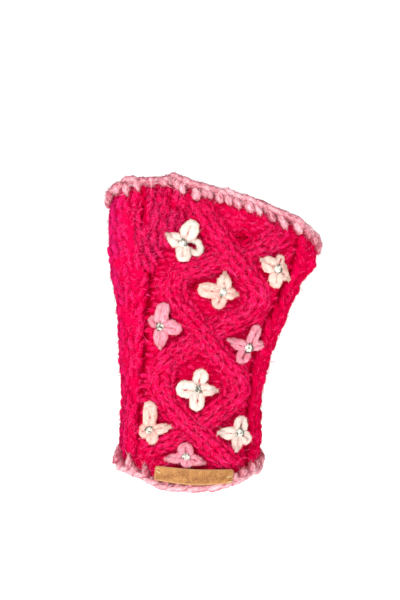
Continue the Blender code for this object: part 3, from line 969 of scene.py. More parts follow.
def on_ground(x, z, clear):
    """Whether a point of the front lies between the cables, the gutters and the rims."""
    turn = front_turn(x, z)
    found = (x > curve_at(z, THUMB_GUTTER) - 0.6) & (x < curve_at(z, OUTER_GUTTER) - 1.3)
    found &= (z < hand_rim(turn) - EDGE_CAP - 1.0) & (z > wrist_rim(turn) + EDGE_CAP + 1.0)
    found &= (off_cable(x, z, CABLE_A)[0] > clear) & (off_cable(x, z, CABLE_B)[0] > clear)
    return found


def is_knit_corner(x, z):
    """The corner over the first daisy is plain knit, and the rest of the ground is purled."""
    return ((z > 94.0) & (x < 4.0)) | (x < curve_at(z, GROUND_START))


def ground_spots():
    """Places of the purl bumps over the whole front, each row set half a bump on from the last."""
    row, step = (a.ravel() for a in np.meshgrid(
        np.arange(int(160 / PURL_PITCH)), np.arange(int(110 / PURL_WIDTH)), indexing="ij"))
    return -45 + (step + 0.5 * (row % 2)) * PURL_WIDTH, -30 + row * PURL_PITCH


def purl_bars():
    """The bumps of the purled ground, each an arch whose ends dive under its neighbours."""
    s = np.linspace(-1.0, 1.0, 9)
    x, z = ground_spots()
    kept = on_ground(x, z, 4.0) & ~is_knit_corner(x, z)
    x = x[kept][:, None]
    z = z[kept][:, None]
    count = x.shape
    unruly = np.where(x < -6.0, 0.4, 1.0)
    lean = draw.normal(0.0, 0.24, count) * unruly
    shift = draw.normal(0, 0.6, count) * unruly
    half = 0.60 + draw.normal(0, 0.04, count)
    px = x + shift + s * half * PURL_WIDTH
    raised = draw.normal(0, 0.25, count)
    arch = 0.7 + draw.normal(0, 0.35, count) * unruly
    pz = z + raised + arch * (1 - s ** 2) - 0.4
    pz = pz + lean * s * PURL_WIDTH * 0.6
    turn = front_turn(px, pz)
    radius = 1.25 * (0.35 + 0.65 * (1 - s ** 4)) * (1 + draw.normal(0, 0.09, count))
    outward = front_relief(turn, pz) * 0.3 + YARN_PROUD - 1.9 - 1.3 * np.abs(s) ** 2.2
    outward = outward + draw.normal(0, 0.3, count) + 0.8 * (1 - unruly) - 0.45 * pit_depth(px, pz)
    return on_tube(turn, pz, outward, radius)


def corner_knit():
    """Plain knit stitches in the corner between the thumb gutter and the first cable."""
    wales, rows = 8, 13

    def place(across, along, rise, girth):
        z = 72.0 + along * CORNER_PITCH
        x = curve_at(z, THUMB_GUTTER) - 0.4 + across * CORNER_WIDTH
        turn = front_turn(x, z)
        radius = 0.40 * CORNER_WIDTH
        middle_x = x.mean(axis=1)
        middle_z = z.mean(axis=1)
        kept = on_ground(middle_x, middle_z, 4.6) & is_knit_corner(middle_x, middle_z) & (middle_z > 74.0)
        kept &= (z < hand_rim(turn) - EDGE_CAP).all(axis=1)
        outward = 0.6 * rim_fade(turn, z) + YARN_PROUD + (rise - 0.85) * radius - 0.8 * pit_depth(x, z)
        # the knit sinks to the purled ground below it
        outward = outward - 1.4 * (1 - step_up(z, 73.0, 81.0))
        return on_tube(turn, z, outward, radius * girth, kept, flat=0.5)

    return stockinette(wales, rows, place, dip=0.3, uneven=2.5, overlap=1.75, slant=0.42)


def seam_ladder(turn_at):
    """Sewing yarn up a side seam: two short bars at each row."""
    up = ((np.arange(2 * BAND_ROWS) + 0.5) / (2 * BAND_ROWS))[:, None]
    s = np.linspace(-1.0, 1.0, 7)
    turn = turn_at + 0.045 * s + 0 * up
    height = wall_height(turn, up) + 1.0 * s
    outward = palm_relief(turn, height) - 1.5 - 0.8 * s ** 2
    radius = 0.7 * (1 - 0.7 * s ** 4) + 0 * turn
    return on_tube(turn, height, outward, radius, sides=6)


# --- Crocheted edges --------------------------------------------------------------------------

def crochet(rim, stitches, way, leg_long, legs, messy, pale):
    """The strands of an edging: three plain cores, a slanted chain on the rim, and legs down the knit.

    way is +1 at the hand rim and -1 at the wrist rim. legs has each stitch's reach (a share of leg_long),
    point (0 a round end, 1 a spike) and lean (stitches). messy is how loose the plies are on the thumb
    side. The edging lies closer to the knit at both sides. pale lightens the chain as painted light and
    darkens the legs.
    """
    turn_step = 2 * math.pi / stitches
    reach, spike, lean = legs

    def laid(turn, past, outward, radius, **looks):
        """Strands by the rim: past is how far beyond the knit's edge they lie."""
        height = rim(turn) - way * EDGE_CAP + way * past
        return on_tube(turn, height, outward, radius, **looks)

    def along(values):
        """Rows of values along a strand, for one strand or for each stitch's own."""
        s = np.linspace(0, 1, 9)
        rows = np.broadcast_arrays(*(np.atleast_1d(v).reshape(-1, 1) for v in values))
        knots = np.linspace(0, 1, len(rows))
        return np.stack([smooth(s, knots, row) for row in np.concatenate(rows, axis=1)])

    def course(offset, past, outward, radius, sunk, paler):
        """One strand a stitch, from values along it: stitches round, mm past the edge, mm out and radius."""
        number = np.arange(stitches)[:, None]
        uneven = 1.0 + 0.8 * messy * (1 - step_up(number * turn_step, 0.9, 1.5))
        wobble = draw.normal(0, 1, (3, stitches, 1)) * np.array([0.1, 0.28, 0.2])[:, None, None] * uneven
        turn = (number + along(offset) + wobble[0]) * turn_step
        off_thumb = step_up(np.abs(turn), 0.1, 0.9)
        at_outer = 1 - step_up(np.abs(turn - math.pi), 0.1, 0.8)
        snug = 0.45 + 0.55 * off_thumb - 0.5 * at_outer
        girth = np.maximum(along(radius), 0.08) * (1 + draw.normal(0, 0.13, (stitches, 1)))
        # each stitch's tone; paler lightens the chain as painted light or darkens the legs, and sunk and
        # under add painted shade towards the ends and on the side towards the knit
        shade = draw.uniform(0, 1, stitches) + paler
        return laid(
            turn, along(past) + wobble[1], (along(outward) + wobble[2]) * snug, girth,
            shade=shade, sunk=sunk, under=3.0)

    turn = np.linspace(0, 2 * math.pi, 5 * stitches + 1)[None, :]
    cores = []
    for past, outward, radius in ((0.1, 0.75, 1.4), (0.4, -1.2, 1.35), (-0.8, -2.6, 0.9)):
        # the cores are darkened as painted shade, for where they show between the chain's stitches
        looks = {"groove": 0.08, "twist": 0.5, "shade": np.array([-0.4])}
        cores.append(laid(turn, past, outward, radius + 0 * turn, **looks))
    tail = (leg_long - 0.9) * reach
    loose = 0.2 + 0.8 * messy * (1 - step_up(np.arange(stitches) * turn_step, 1.0, 2.0))
    thin = 0.1
    return cores + [course(*values) for values in (
        # the chain's front and its back
        ((-0.6, -0.05, 0.75, 1.3), (1.2, 1.4, 0.7, -0.4),
         (0.0, 1.6, 2.0, 0.5), (0.2, 1.4, 1.6, 0.3), 1.4, pale),
        ((-0.5, 0.1, 0.9, 1.4), (0.9, 1.5, 1.4, 0.6),
         (-0.6, -0.7, -1.3, -2.0), (0.4, 1.25, 1.25, 0.4), 1.4, pale),
        # loose plies over the chain, most of them on the thumb side
        ((-0.2, 0.0, 0.3, 0.5), (0.6, 0.9, 0.0, -0.9), (1.3, 2.1, 2.1, 1.2),
         (thin, 0.7 * loose, 0.75 * loose, thin), 0.3, 0.0),
        ((0.5, 0.4, 0.2, 0.2), (0.8, 0.5, -0.5, -1.6), (1.2, 2.0, 2.1, 1.4),
         (thin, 0.6 * loose, 0.7 * loose, thin), 0.3, 0.0),
        # the legs outside
        ((0.02, 0.02 + 0.3 * lean, 0.02 + 0.7 * lean, 0.02 + lean),
         (0.3, -0.35 * tail, -0.7 * tail, -tail),
         (0.7, 1.3, 1.3 - 0.3 * spike, -0.3),
         (1.3 + 1.9 * spike, 2.1 + 0.5 * spike, 2.4 - 1.1 * spike, 1.7 - 1.55 * spike), 1.4, -0.6 * pale),
        # slack between the legs, and short legs inside
        ((0.6, 0.72, 0.82, 0.9), (0.4, -0.4, -1.0, -1.8),
         (0.9, 1.0, 0.6, -0.6), (0.6, 1.2, 1.1, 0.3), 1.4, 0.0),
        ((0.2, 0.3, 0.35, 0.4), (1.0, 0.6, -0.2, -1.2),
         (-2.2, -3.0, -3.3, -3.0), (0.5, 0.8, 0.8, 0.2), 1.4, 0.0),
    )]


def edge_legs(stitches, rows, spike_until, lean_thumb, lean_outer, between):
    """Each stitch's leg: its reach from a table by x, spikes near the thumb, and a lean that turns round.

    The legs are shorter at the outer side, and every other spike's reach is taken times between.
    """
    turn = 2 * math.pi * np.arange(stitches) / stitches
    x = plan(turn, 0 * turn + 40.0)[0]
    level = (x - x.min()) / (x.max() - x.min())
    by_x = curve_at(rows[0][0] + level * (rows[-1][0] - rows[0][0]), rows)
    front = (turn > 0) & (turn < math.pi)
    reach = np.where(front, by_x, 1.0) * (1 + draw.normal(0, 0.09, stitches))
    reach = reach * (0.45 + 0.55 * step_up(np.abs(turn - math.pi), 0.15, 0.7))
    spiky = front & (turn < spike_until)
    reach = np.where(spiky & (np.arange(stitches) % 2 == 0), between * reach, reach)
    spike = np.where(spiky, 0.9, 0.0) + draw.uniform(0, 0.25, stitches)
    lean = lean_thumb + (lean_outer - lean_thumb) * step_up(turn, 0.3, 2.6) + draw.normal(0, 0.05, stitches)
    return reach, np.clip(spike, 0, 1), np.where(front, lean, 0.3)


# --- Daisies ----------------------------------------------------------------------------------

panel_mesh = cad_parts["cable_panel"].data
PANEL = BVHTree.FromPolygons(
    [v.co.copy() for v in panel_mesh.vertices], [tuple(p.vertices) for p in panel_mesh.polygons])
# a spot's height is felt at its middle and on a ring 1.3 mm round it
PROBES = [(0.0, 0.0)] + [(1.3 * math.cos(a), 1.3 * math.sin(a)) for a in np.radians(range(0, 360, 45))]
BESIDE_PANEL_Y = -20.0


def surface_y(x, z):
    """The CAD panel's outermost Y near points of the front, in millimetres."""
    result = np.zeros(np.shape(x))
    for place in np.ndindex(np.shape(x)):
        found = []
        for dx, dz in PROBES:
            start = Vector((x[place] + dx, -100.0, z[place] + dz)) * MM
            hit = PANEL.ray_cast(start, Vector((0.0, 1.0, 0.0)))[0]
            if hit is not None:
                found.append(hit.y / MM)
        result[place] = min(found) if found else BESIDE_PANEL_Y
    return result


PETAL_STATIONS = 17
FACING = np.array([0.0, -1.0, 0.0])


def laid_strand(x, z, thick, lift, sides=12, plies=3, groove=0.09, twist=0.45, flat=0.85, shade=None):
    """A strand that lies on the knit's front along x and z, its middle raised by lift."""
    path = np.stack([x, surface_y(x, z) - 0.3 - lift, z], axis=-1)[None]
    # under paints shade on the side that faces the knit
    return strand(path, thick[None], FACING, sides, plies, groove, twist, flat, shade, under=1.7)


def hair(x, z, thick, lift):
    return laid_strand(x, z, thick, lift, 5, 2, 0.0, 0.0, 1.0)


def petal_strands(centre, petals):
    """A daisy's loops, each a plump strand out along one side and back along the other, and their slits."""
    made = []
    slits = []
    round_loop = np.linspace(0.05, 1.95, PETAL_STATIONS) * np.pi
    out_share = (1 - np.cos(round_loop)) / 2
    swing = np.sin(round_loop)
    s = np.linspace(0, 1, 9)
    for bearing, length, half_width, kind in petals:
        a = math.radians(bearing)

        def place(along, aside=0.0):
            x = centre[0] + along * math.cos(a) - aside * math.sin(a)
            z = centre[1] + along * math.sin(a) + aside * math.cos(a)
            return x, z

        plump, square, tip = PETAL_KINDS[kind]
        girth = plump * half_width
        low = 3.0 if kind == "ball" else 1.0
        loop_length = 0.88 * length if kind == "pointed" else length
        reach = loop_length - girth * tip * 0.9
        along = low + (reach - low) * out_share
        across = (half_width - girth) * np.sign(swing) * np.abs(swing) ** square
        across = across * np.where(swing > 0, draw.uniform(0.9, 1.2), draw.uniform(0.9, 1.2))
        if kind == "pointed":
            across = across * (1.15 - 0.4 * out_share)
        bend = draw.normal(0, 0.5) * out_share ** 2
        x, z = place(along, across + bend)
        x = x + draw.normal(0, 0.13, PETAL_STATIONS)
        z = z + draw.normal(0, 0.13, PETAL_STATIONS)
        thick = girth * (0.66 + 0.34 * step_up(out_share, 0.0, 0.35))
        thick = thick * (1 - (1 - tip) * step_up(out_share, 0.65, 1.0))
        thick = thick * (1 + draw.normal(0, 0.05, PETAL_STATIONS))
        thick[[0, -1]] *= 0.5
        tilt = 0.3 * np.sign(swing) * draw.uniform(-1, 1)
        made.append(laid_strand(x, z, thick, 0.35 + thick * 0.85 + 0.35 * np.sin(np.pi * out_share) + tilt))
        if kind != "open":
            # the yarn seen between the two sides, darkened as painted shade in the groove
            x, z = place((0.12 + 0.68 * s) * loop_length)
            fill = 0.5 * girth * np.sin(np.pi * (0.15 + 0.75 * s))
            made.append(laid_strand(x, z, fill, 0.1 + 0.95 * girth, 8, 3, 0.05, 0.35, shade=np.array([-1.0])))
            # and the knit that shows in the slit: a thin strand of the darker ground wool, real knit whose
            # darkness is painted shade
            x, z = place(loop_length * draw.uniform(0.3, 0.48) + draw.uniform(1.0, 2.8) * s)
            x = x + draw.normal(0, 0.15, 9)
            z = z + draw.normal(0, 0.15, 9)
            rise = 0.7 + 0.85 * (girth + math.sqrt(girth ** 2 - (half_width - girth) ** 2))
            slits.append(hair(x, z, 0.08 + 0.16 * np.sin(np.pi * s), rise - 0.05))
        if kind == "pointed":
            # the short stitch that ties the loop's tip down, lightened as painted light against the loop's
            # shade
            x, z = place(length * (0.62 + 0.33 * s), bend[PETAL_STATIONS // 2])
            lift = 1.2 * (1 - s ** 2) + 1.3
            made.append(laid_strand(x, z, 1.4 - 0.6 * s, lift, 8, 2, 0.1, 0.9, shade=np.array([1.5])))
    return made, slits


def loose_loop(centre):
    route = curve_points(LOOSE_LOOP, 2 * PETAL_STATIONS)
    s = np.linspace(0, 1, 2 * PETAL_STATIONS)
    thick = 1.5 * (0.85 + 0.25 * np.sin(np.pi * s)) * (1 + draw.normal(0, 0.04, len(s)))
    rise = 0.4 + thick * 0.85
    # the loop is lightened as painted light against the shade on its sides
    return laid_strand(centre[0] + route[:, 0], centre[1] + route[:, 1], thick, rise, shade=np.array([1.3]))


def curly_hairs():
    """Long hairs that curl over the knit."""
    s = np.linspace(0, 1, 22)
    made = []
    for x, z, radius, first, sweep in CURLS:
        a = np.radians(first + sweep * s)
        size = radius * (1 - 0.3 * s)
        hx = x + size * np.cos(a) + 0.6 * np.sin(5 * s + x)
        hz = z + size * np.sin(a)
        made.append(hair(hx, hz, 0.15 - 0.06 * s, 0.3 + 1.9 * np.sin(np.pi * s)))
    return made


# --- Stones -----------------------------------------------------------------------------------

STONE_RADIUS = 2.15
CUP_SIDES = 20
FACETS = 8
STONE_RINGS = [
    # radius  depth  turned by, in facets
    (1.05, -1.15, 0.5),
    (1.75, -0.72, 0.0),
    (STONE_RADIUS, 0.0, 0.5),
    (1.2, 0.9, 0.0),
]
CUP_RINGS = [
    # radius  depth
    (STONE_RADIUS * 0.86, 0.35),
    (STONE_RADIUS * 1.06, 0.05),
    (STONE_RADIUS * 1.13, 0.5),
    (1.7, 2.4),
    (0.6, 2.6),
]
CLAW_RINGS = [
    # reach in stone radii  depth
    (1.14, 1.2),
    (1.14, -0.1),
    (1.02, -0.45),
    (0.78, -0.62),
]


def add_tube(work, rings):
    """Faces round a tube of rings."""
    for low, high in zip(rings, rings[1:]):
        for k in range(len(low)):
            work.faces.new((low[k], low[k - 1], high[k - 1], high[k]))


def add_stone(work, centre, spin):
    """A cut stone of flat facets."""
    x, y, z = centre
    rings = []
    for radius, depth, shift in STONE_RINGS:
        ring = []
        for k in range(FACETS):
            a = 2 * math.pi * (k + shift) / FACETS + spin
            point = Vector((x + radius * math.cos(a), y + depth, z + radius * math.sin(a)))
            ring.append(work.verts.new(point * MM))
        rings.append(ring)
    work.faces.new(rings[0])
    work.faces.new(rings[3])
    for level, (low, high) in enumerate(zip(rings, rings[1:])):
        for k in range(FACETS):
            j = (k + 1) % FACETS
            if level % 2 == 0:
                work.faces.new((low[k], low[k - 1], high[k]))
                work.faces.new((low[k], high[k], high[j]))
            else:
                work.faces.new((low[k], high[k - 1], high[k]))
                work.faces.new((low[k], high[k], low[j]))


def add_cup(work, centre, spin):
    """A metal cup under a stone, with four claws over its edge."""
    x, y, z = centre
    loops = []
    for radius, depth in CUP_RINGS:
        turns = [2 * math.pi * k / CUP_SIDES for k in range(CUP_SIDES)]
        loops.append([work.verts.new(Vector((
            x + radius * math.cos(b), y + depth, z + radius * math.sin(b))) * MM) for b in turns])
    add_tube(work, loops)
    work.faces.new(loops[-1])
    work.faces.new(loops[0])
    for k in range(4):
        a = math.pi / 4 + k * math.pi / 2 + spin / 2
        claw = []
        for reach, depth in CLAW_RINGS:
            ring = []
            for corner in range(6):
                b = 2 * math.pi * corner / 6
                along = STONE_RADIUS * reach + 0.28 * math.cos(b) * (0.4 if depth < -0.5 else 1)
                aside = 0.34 * math.sin(b)
                ring.append(work.verts.new(Vector((
                    x + along * math.cos(a) - aside * math.sin(a),
                    y + depth - (0.25 * math.cos(b) if depth < -0.4 else 0),
                    z + along * math.sin(a) + aside * math.cos(a))) * MM))
            claw.append(ring)
        add_tube(work, claw)
        work.faces.new(claw[0])
        work.faces.new(claw[-1])


def stones(centres):
    """Cut glass stones in dark claw cups, as two meshes of flat facets."""
    glass, cups = bmesh.new(), bmesh.new()
    for centre, spin in centres:
        add_stone(glass, centre, spin)
        add_cup(cups, centre, spin)
    for name, work, finish in (("cut_stones", glass, GLASS), ("stone_claws", cups, METAL)):
        bmesh.ops.recalc_face_normals(work, faces=work.faces)
        piece = bmesh_object(name, work, finish)
        # each facet's tone, which the glass turns into its painted reflection
        tones = piece.data.attributes.new("shade", "FLOAT", "FACE")
        count = len(piece.data.polygons)
        tones.data.foreach_set("value", draw.uniform(0, 1, count).astype(np.float32))
        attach(piece, "root")


def glass_material():
    """Foil-backed cut glass with painted reflections: each facet has its own grey, with painted glints over
    them.
    """
    work = Material("cut_glass")
    glints = work.node("TexVoronoi", {"Vector": work.place(), "Scale": 1400.0}).outputs["Color"]
    glint = work.node("SeparateColor", {0: glints}).outputs[0]
    tone = work.weigh([(work.note("shade"), 0.45), (glint, 0.55)])
    stops = [(0.20, (0.05, 0.05, 0.04)), (0.38, (0.40, 0.40, 0.33)), (0.60, (0.84, 0.84, 0.74))]
    work.fill(work.shader, {
        "Base Color": work.ramp(tone, stops),
        "Metallic": 0.0,
        "Roughness": 0.06,
        "Coat Weight": 0.6,
        "Coat Roughness": 0.02,
    })
    return work.made


def metal_material():
    work = Material("claw_metal")
    # the cups and claws are the stones' real setting; their near-black colour is partly painted shade, for
    # the dark ring round each stone
    spots = work.noise(work.place(), 900.0, 2.0, 0.5)
    work.fill(work.shader, {
        "Base Color": work.ramp(spots, [(0.35, (0.10, 0.085, 0.07)), (0.7, (0.34, 0.31, 0.27))]),
        "Metallic": 0.85,
        "Roughness": work.span(spots, 0.28, 0.5),
    })
    return work.made


GLASS = glass_material()
METAL = metal_material()


# --- Label ------------------------------------------------------------------------------------

LABEL_MIDDLE = 1.9
LABEL_HALF = 17.2
LABEL_STITCHES = [
    # x    height  slope  half length
    (-13.9, -16.9, -0.35, 0.9),
    (-13.8, -18.6, -0.6, 1.1),
    (17.0, -21.0, 0.25, 1.4),
    (17.0, -23.4, 0.2, 1.2),
]


def leather_material():
    work = Material("tan_leather_grain")
    where = work.place()
    grain = work.node("TexVoronoi", {"Vector": where, "Scale": 1500.0}, feature="DISTANCE_TO_EDGE")
    blotch = work.noise(where, 260.0, 3.0, 0.6)
    fine = work.noise(where, 2600.0, 2.0, 0.6)
    stops = [(0.46, (0.25, 0.085, 0.016)), (0.57, (0.46, 0.190, 0.045)), (0.72, (0.62, 0.31, 0.100))]
    colour = work.ramp(work.weigh([(blotch, 0.5), (fine, 0.65)]), stops)
    work.fill(work.shader, {
        "Base Color": work.mix(work.weigh([(work.note("worn"), 0.75)]), colour, (0.66, 0.36, 0.16)),
        "Roughness": work.span(blotch, 0.5, 0.75),
        "Normal": work.bump([(grain.outputs["Distance"], 0.6), (fine, 0.5)], 0.35, 0.0003),
    })
    return work.made


def label_piece():
    """A leather strip with rounded corners and edges, bent round the front over the edging."""
    columns, rows = 72, 16
    u, v = np.meshgrid(np.linspace(-1, 1, columns + 1), np.linspace(-1, 1, rows + 1))
    corner = 0.9 / 18.5     # the rounded corner, as a share of half the strip
    in_corner = (np.abs(u) - 1 + corner) / corner
    pull = np.where(in_corner > 0, 1 - np.sqrt(np.maximum(0, 1 - in_corner ** 2)), 0.0)
    x = LABEL_MIDDLE + LABEL_HALF * u - 0.45 * (1 - (v + 1) / 2)
    top = curve_at(x, LABEL_TOP)
    bottom = curve_at(x, LABEL_BOTTOM)
    half = (top - bottom) / 2
    z = (top + bottom) / 2 + (half - 0.9 * pull) * v
    turn = front_turn(x, z)
    from_edge = np.minimum((1 - np.abs(v)) * half, (1 - np.abs(u)) * LABEL_HALF)
    rounding = 0.45 * (1 - np.sqrt(np.clip(1 - (1 - np.minimum(from_edge / 0.5, 1)) ** 2, 0, 1)))
    inner = LABEL_OFFSET + 0.15 * np.sin(2.4 * u + 1)
    face = tube_point(turn, z, inner + LABEL_THICK - rounding)
    back = tube_point(turn, z, inner)
    points = np.concatenate([face.reshape(-1, 3), back.reshape(-1, 3)])
    worn = 1 - np.clip(from_edge / 0.8, 0, 1)
    notes = {"worn": np.concatenate([worn.ravel(), np.ones(worn.size)])}
    rim_corners = [[0.004, 0.92], [0.0, 0.92], [0.0, 0.97], [0.004, 0.97]]
    faces, uv = shell(rows, columns, 0.99, 0.45, (0, 0.46), 1.0, rim_corners)
    piece = mesh_object("label_strip", points, faces, leather_material(), uv, notes)
    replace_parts(piece, "leather_label")


def label_stitches():
    """Pale thread through two holes at each end of the strip."""
    s = np.linspace(-1, 1, 9)
    x, z, slope, length = (column(LABEL_STITCHES, i)[:, None] for i in range(4))
    px = x + s * length * np.cos(slope)
    pz = z + s * length * np.sin(slope)
    turn = front_turn(px, pz)
    outward = LABEL_OFFSET + LABEL_THICK + 0.15 - 0.9 * np.abs(s) ** 3
    radius = 0.36 * (1 - 0.5 * np.abs(s) ** 4) + 0 * px
    made = on_tube(turn, pz, outward, radius, groove=0.2, twist=2.4)
    yarn("label_thread", [made], THREAD)


# --- Loose fibres -----------------------------------------------------------------------------

def flatten(vectors, sides):
    """Takes most of what points along each side out of the vectors."""
    for side in sides:
        vectors = vectors - 0.9 * side * np.sum(vectors * side, axis=1, keepdims=True)
    return vectors


def fuzz(strands, count, length, width, lift, lie, face, stray, even=0.0):
    """Loose fibres that leave the yarn here and there, each a slim blade: two roots, two middles and a tip.

    They head out of the yarn by lift, along it by lie and any way by stray. face turns a blade's flat side
    out. Gives the blades' points, the way they face for the light (even turns it from the yarn's to the
    cloth's), and their tone: random, with painted light on the crown of the yarn and painted shade on its
    flanks.
    """
    roots, outs, alongs, faces = [], [], [], []
    sizes = np.array([s["points"].shape[0] * s["points"].shape[1] for s in strands], dtype=float)
    for s, share in zip(strands, sizes / sizes.sum()):
        number = int(round(count * share))
        here, stations, sides, _ = s["points"].shape
        i = draw.integers(0, here, number)
        j = draw.integers(1, stations - 1, number)
        a = draw.integers(sides // 4, sides - sides // 4 + 1, number) % sides
        roots.append(s["points"][i, j, a])
        outs.append(unit(s["ring"][i, j, a]))
        alongs.append(s["tangent"][i, j])
        faces.append(s["face"][i, j])
    root = np.concatenate(roots)
    open_air = (root[:, 1] > 0) | (pit_depth(root[:, 0], root[:, 2]) < 0.8)
    root, out, along, face_out = (
        a[open_air] for a in (root, np.concatenate(outs), np.concatenate(alongs), np.concatenate(faces)))
    number = len(root)
    way = np.sign(draw.uniform(-1, 1, (number, 1)))
    scatter = flatten(draw.normal(0, stray, (number, 3)), (out, face_out))
    heading = unit(lift * out + way * lie * along + scatter)
    bend = flatten(draw.normal(0, 0.3, (number, 3)), (out, face_out))
    size = length * draw.lognormal(0, 0.35, (number, 1))
    start = root - 0.1 * out
    middle = start + 0.5 * size * heading + 0.25 * size * bend
    tip = start + size * (heading + bend)
    # the tube is roundest at its two sides
    sag = face_out * (face_out[:, :1] * size) ** 2 / 40
    middle = middle - 0.25 * sag
    tip = tip - sag
    across = unit(np.cross(heading, (1 - face) * draw.normal(0, 1, (number, 3)) + face * out))
    across = across * width * np.sign(np.sum(np.cross(across, heading) * out, axis=1, keepdims=True))
    narrow = 0.85 * across
    points = np.stack([start - across, start + across, middle - narrow, middle + narrow, tip], axis=1)
    # painted light and shade: the tone is lighter on the yarn's crown and darker on its flanks
    tone = draw.uniform(0, 1, number) + 0.9 * (np.sum(out * face_out, axis=1) - 0.8)
    return points, unit(out + even * face_out), tone


def haze(*kinds):
    """The finest fibres, straight and three-cornered."""
    points, out, tone = fuzz(*kinds)
    return points[:, (0, 1, 4)], out, tone


def long_hairs(strands, count, length):
    """Single hairs that wander over the knit: narrow ribbons with several bends."""
    base, out, tone = fuzz(strands, count, 1.0, 0.045, 0.25, 0.9, 0.5, 0.3)
    root = base[:, 0]
    count = len(root)
    stations = 7
    turn = draw.normal(0, 0.5, (count, stations, 3)) + draw.normal(0, 0.3, (count, 1, 3))
    first = unit(base[:, 4] - root)[:, None]
    steps = unit(first + np.cumsum(turn, axis=1) * 0.6)
    size = length * draw.lognormal(0, 0.4, (count, 1, 1)) / stations
    path = root[:, None] + np.concatenate([np.zeros((count, 1, 3)), np.cumsum(steps * size, axis=1)], axis=1)
    aside = unit(np.cross(steps[:, (0, *range(stations))], out[:, None] + draw.normal(0, 0.3, (count, 1, 3))))
    aside = aside * np.linspace(0.075, 0.03, stations + 1)[None, :, None]
    return np.stack([path - aside, path + aside], axis=2), out, tone


def fibres(name, sets, finish):
    """One piece from sets of loose fibres: blades of 3 or 5 points, or ribbons of paired points."""
    total = sum(len(points) for points, _, _ in sets)
    cells = math.ceil(math.sqrt(total))
    points, faces, uv, shade, fibre, normals = [], [], [], [], [], []
    first = 0
    number = 0
    for blades, out, tone in sets:
        count = len(blades)
        if blades.ndim == 4:
            stations = blades.shape[1]
            place = np.stack(np.meshgrid(np.linspace(0.1, 0.9, stations), [0.3, 0.7], indexing="ij"), axis=-1)
            k = np.arange(stations - 1)[:, None] * 2
            cuts = [k + np.array([[0, 1, 3, 2]])]
        elif blades.shape[1] == 5:
            place = np.array([[0.1, 0.2], [0.1, 0.8], [0.5, 0.3], [0.5, 0.7], [0.9, 0.5]])
            cuts = [np.array([[0, 1, 3, 2]]), np.array([[2, 3, 4]])]
        else:
            place = np.array([[0.1, 0.2], [0.1, 0.8], [0.9, 0.5]])
            cuts = [np.array([[0, 1, 2]])]
        place = place.reshape(-1, 2)
        each = len(place)
        index = first + np.arange(count * each).reshape(count, each)
        grid = (cell_corners(number, count, cells)[:, None, :] + place) / cells
        for cut in cuts:
            faces.append(index[:, cut].reshape(-1, cut.shape[1]))
            uv.append(grid[:, cut].reshape(-1, cut.shape[1], 2))
        points.append(blades.reshape(-1, 3))
        normals.append(np.repeat(unit(out + draw.normal(0, 0.35, out.shape)), each, axis=0))
        shade.append(np.repeat(tone, each))
        run = (place[:, 0] * 3 + draw.uniform(0, 40, (count, 1))).ravel()
        fibre.append(np.stack([run, 0 * run, 0 * run], axis=-1))
        first += count * each
        number += count
    notes = {"fibre": np.concatenate(fibre), "shade": np.concatenate(shade)}
    return mesh_object(name, np.concatenate(points), faces, finish, uv, notes, np.concatenate(normals))


def halo(name, finish, wool_sets, blades, fine, hairs=None):
    """A piece of loose fibres: blades and fine ones on some yarn, and perhaps long hairs."""
    sets = [fuzz(wool_sets, *blades), haze(wool_sets, *fine)]
    if hairs:
        sets.append(long_hairs(*hairs))
    return fibres(name, sets, finish)


# --- Build ------------------------------------------------------------------------------------

seam = SEAM_GAP / 2 / 25.0      # half the seam's gap as a turn: the side's radius is about 25
front_cloth = cloth("cable_cloth", seam, math.pi - seam, 100, 96, front_relief, "cable_panel")
palm_cloth = cloth("palm_cloth", math.pi + seam, 2 * math.pi - seam, 60, 60, palm_relief, "palm_panel")

cables = [cable_stitches(CABLE_A), cable_stitches(CABLE_B)]
thumb_place = band_place(
    THUMB_WALES, fixed_turn(SIDE_TURN), thumb_gutter_turn, band_relief,
    girth_share=0.42, lift=-0.75, sides=8, flat=0.5)
thumb_band = stockinette(THUMB_WALES, BAND_ROWS, thumb_place, dip=0.3, uneven=2.0, overlap=1.8, slant=0.34)
outer_place = band_place(
    OUTER_WALES, outer_gutter_turn, fixed_turn(math.pi - SIDE_TURN), band_relief,
    girth_share=0.42, lift=0.0, sides=8, flat=0.6)
outer_band = stockinette(OUTER_WALES, BAND_ROWS, outer_place, dip=0.5, uneven=1.6, overlap=1.7)
palm_place = band_place(
    PALM_WALES, fixed_turn(math.pi + SIDE_TURN), fixed_turn(2 * math.pi - SIDE_TURN), palm_relief,
    girth_share=0.34, lift=0.0, sides=6, flat=0.8)
palm = stockinette(PALM_WALES, BAND_ROWS, palm_place, dip=0.8, uneven=2.0, overlap=1.5, stations=7)
# the outer band's yarn is darkened as painted shade, for its side that turns from the key lamp
OUTER_BAND_PAINTED_SHADE = 0.7
outer_band["shade"] = outer_band["shade"] - OUTER_BAND_PAINTED_SHADE
ground = purl_bars()
corner = corner_knit()
seams = [seam_ladder(0.0), seam_ladder(math.pi)]

cable_yarn = yarn("cable_yarn", cables, CRIMSON)
band_yarn = yarn("band_yarn", [thumb_band, outer_band], CRIMSON)
ground_yarn = yarn("ground_yarn", [ground, corner], CRIMSON)
palm_yarn = yarn("palm_yarn", [palm], CRIMSON)
seam_yarn = yarn("seam_yarn", seams, CRIMSON)

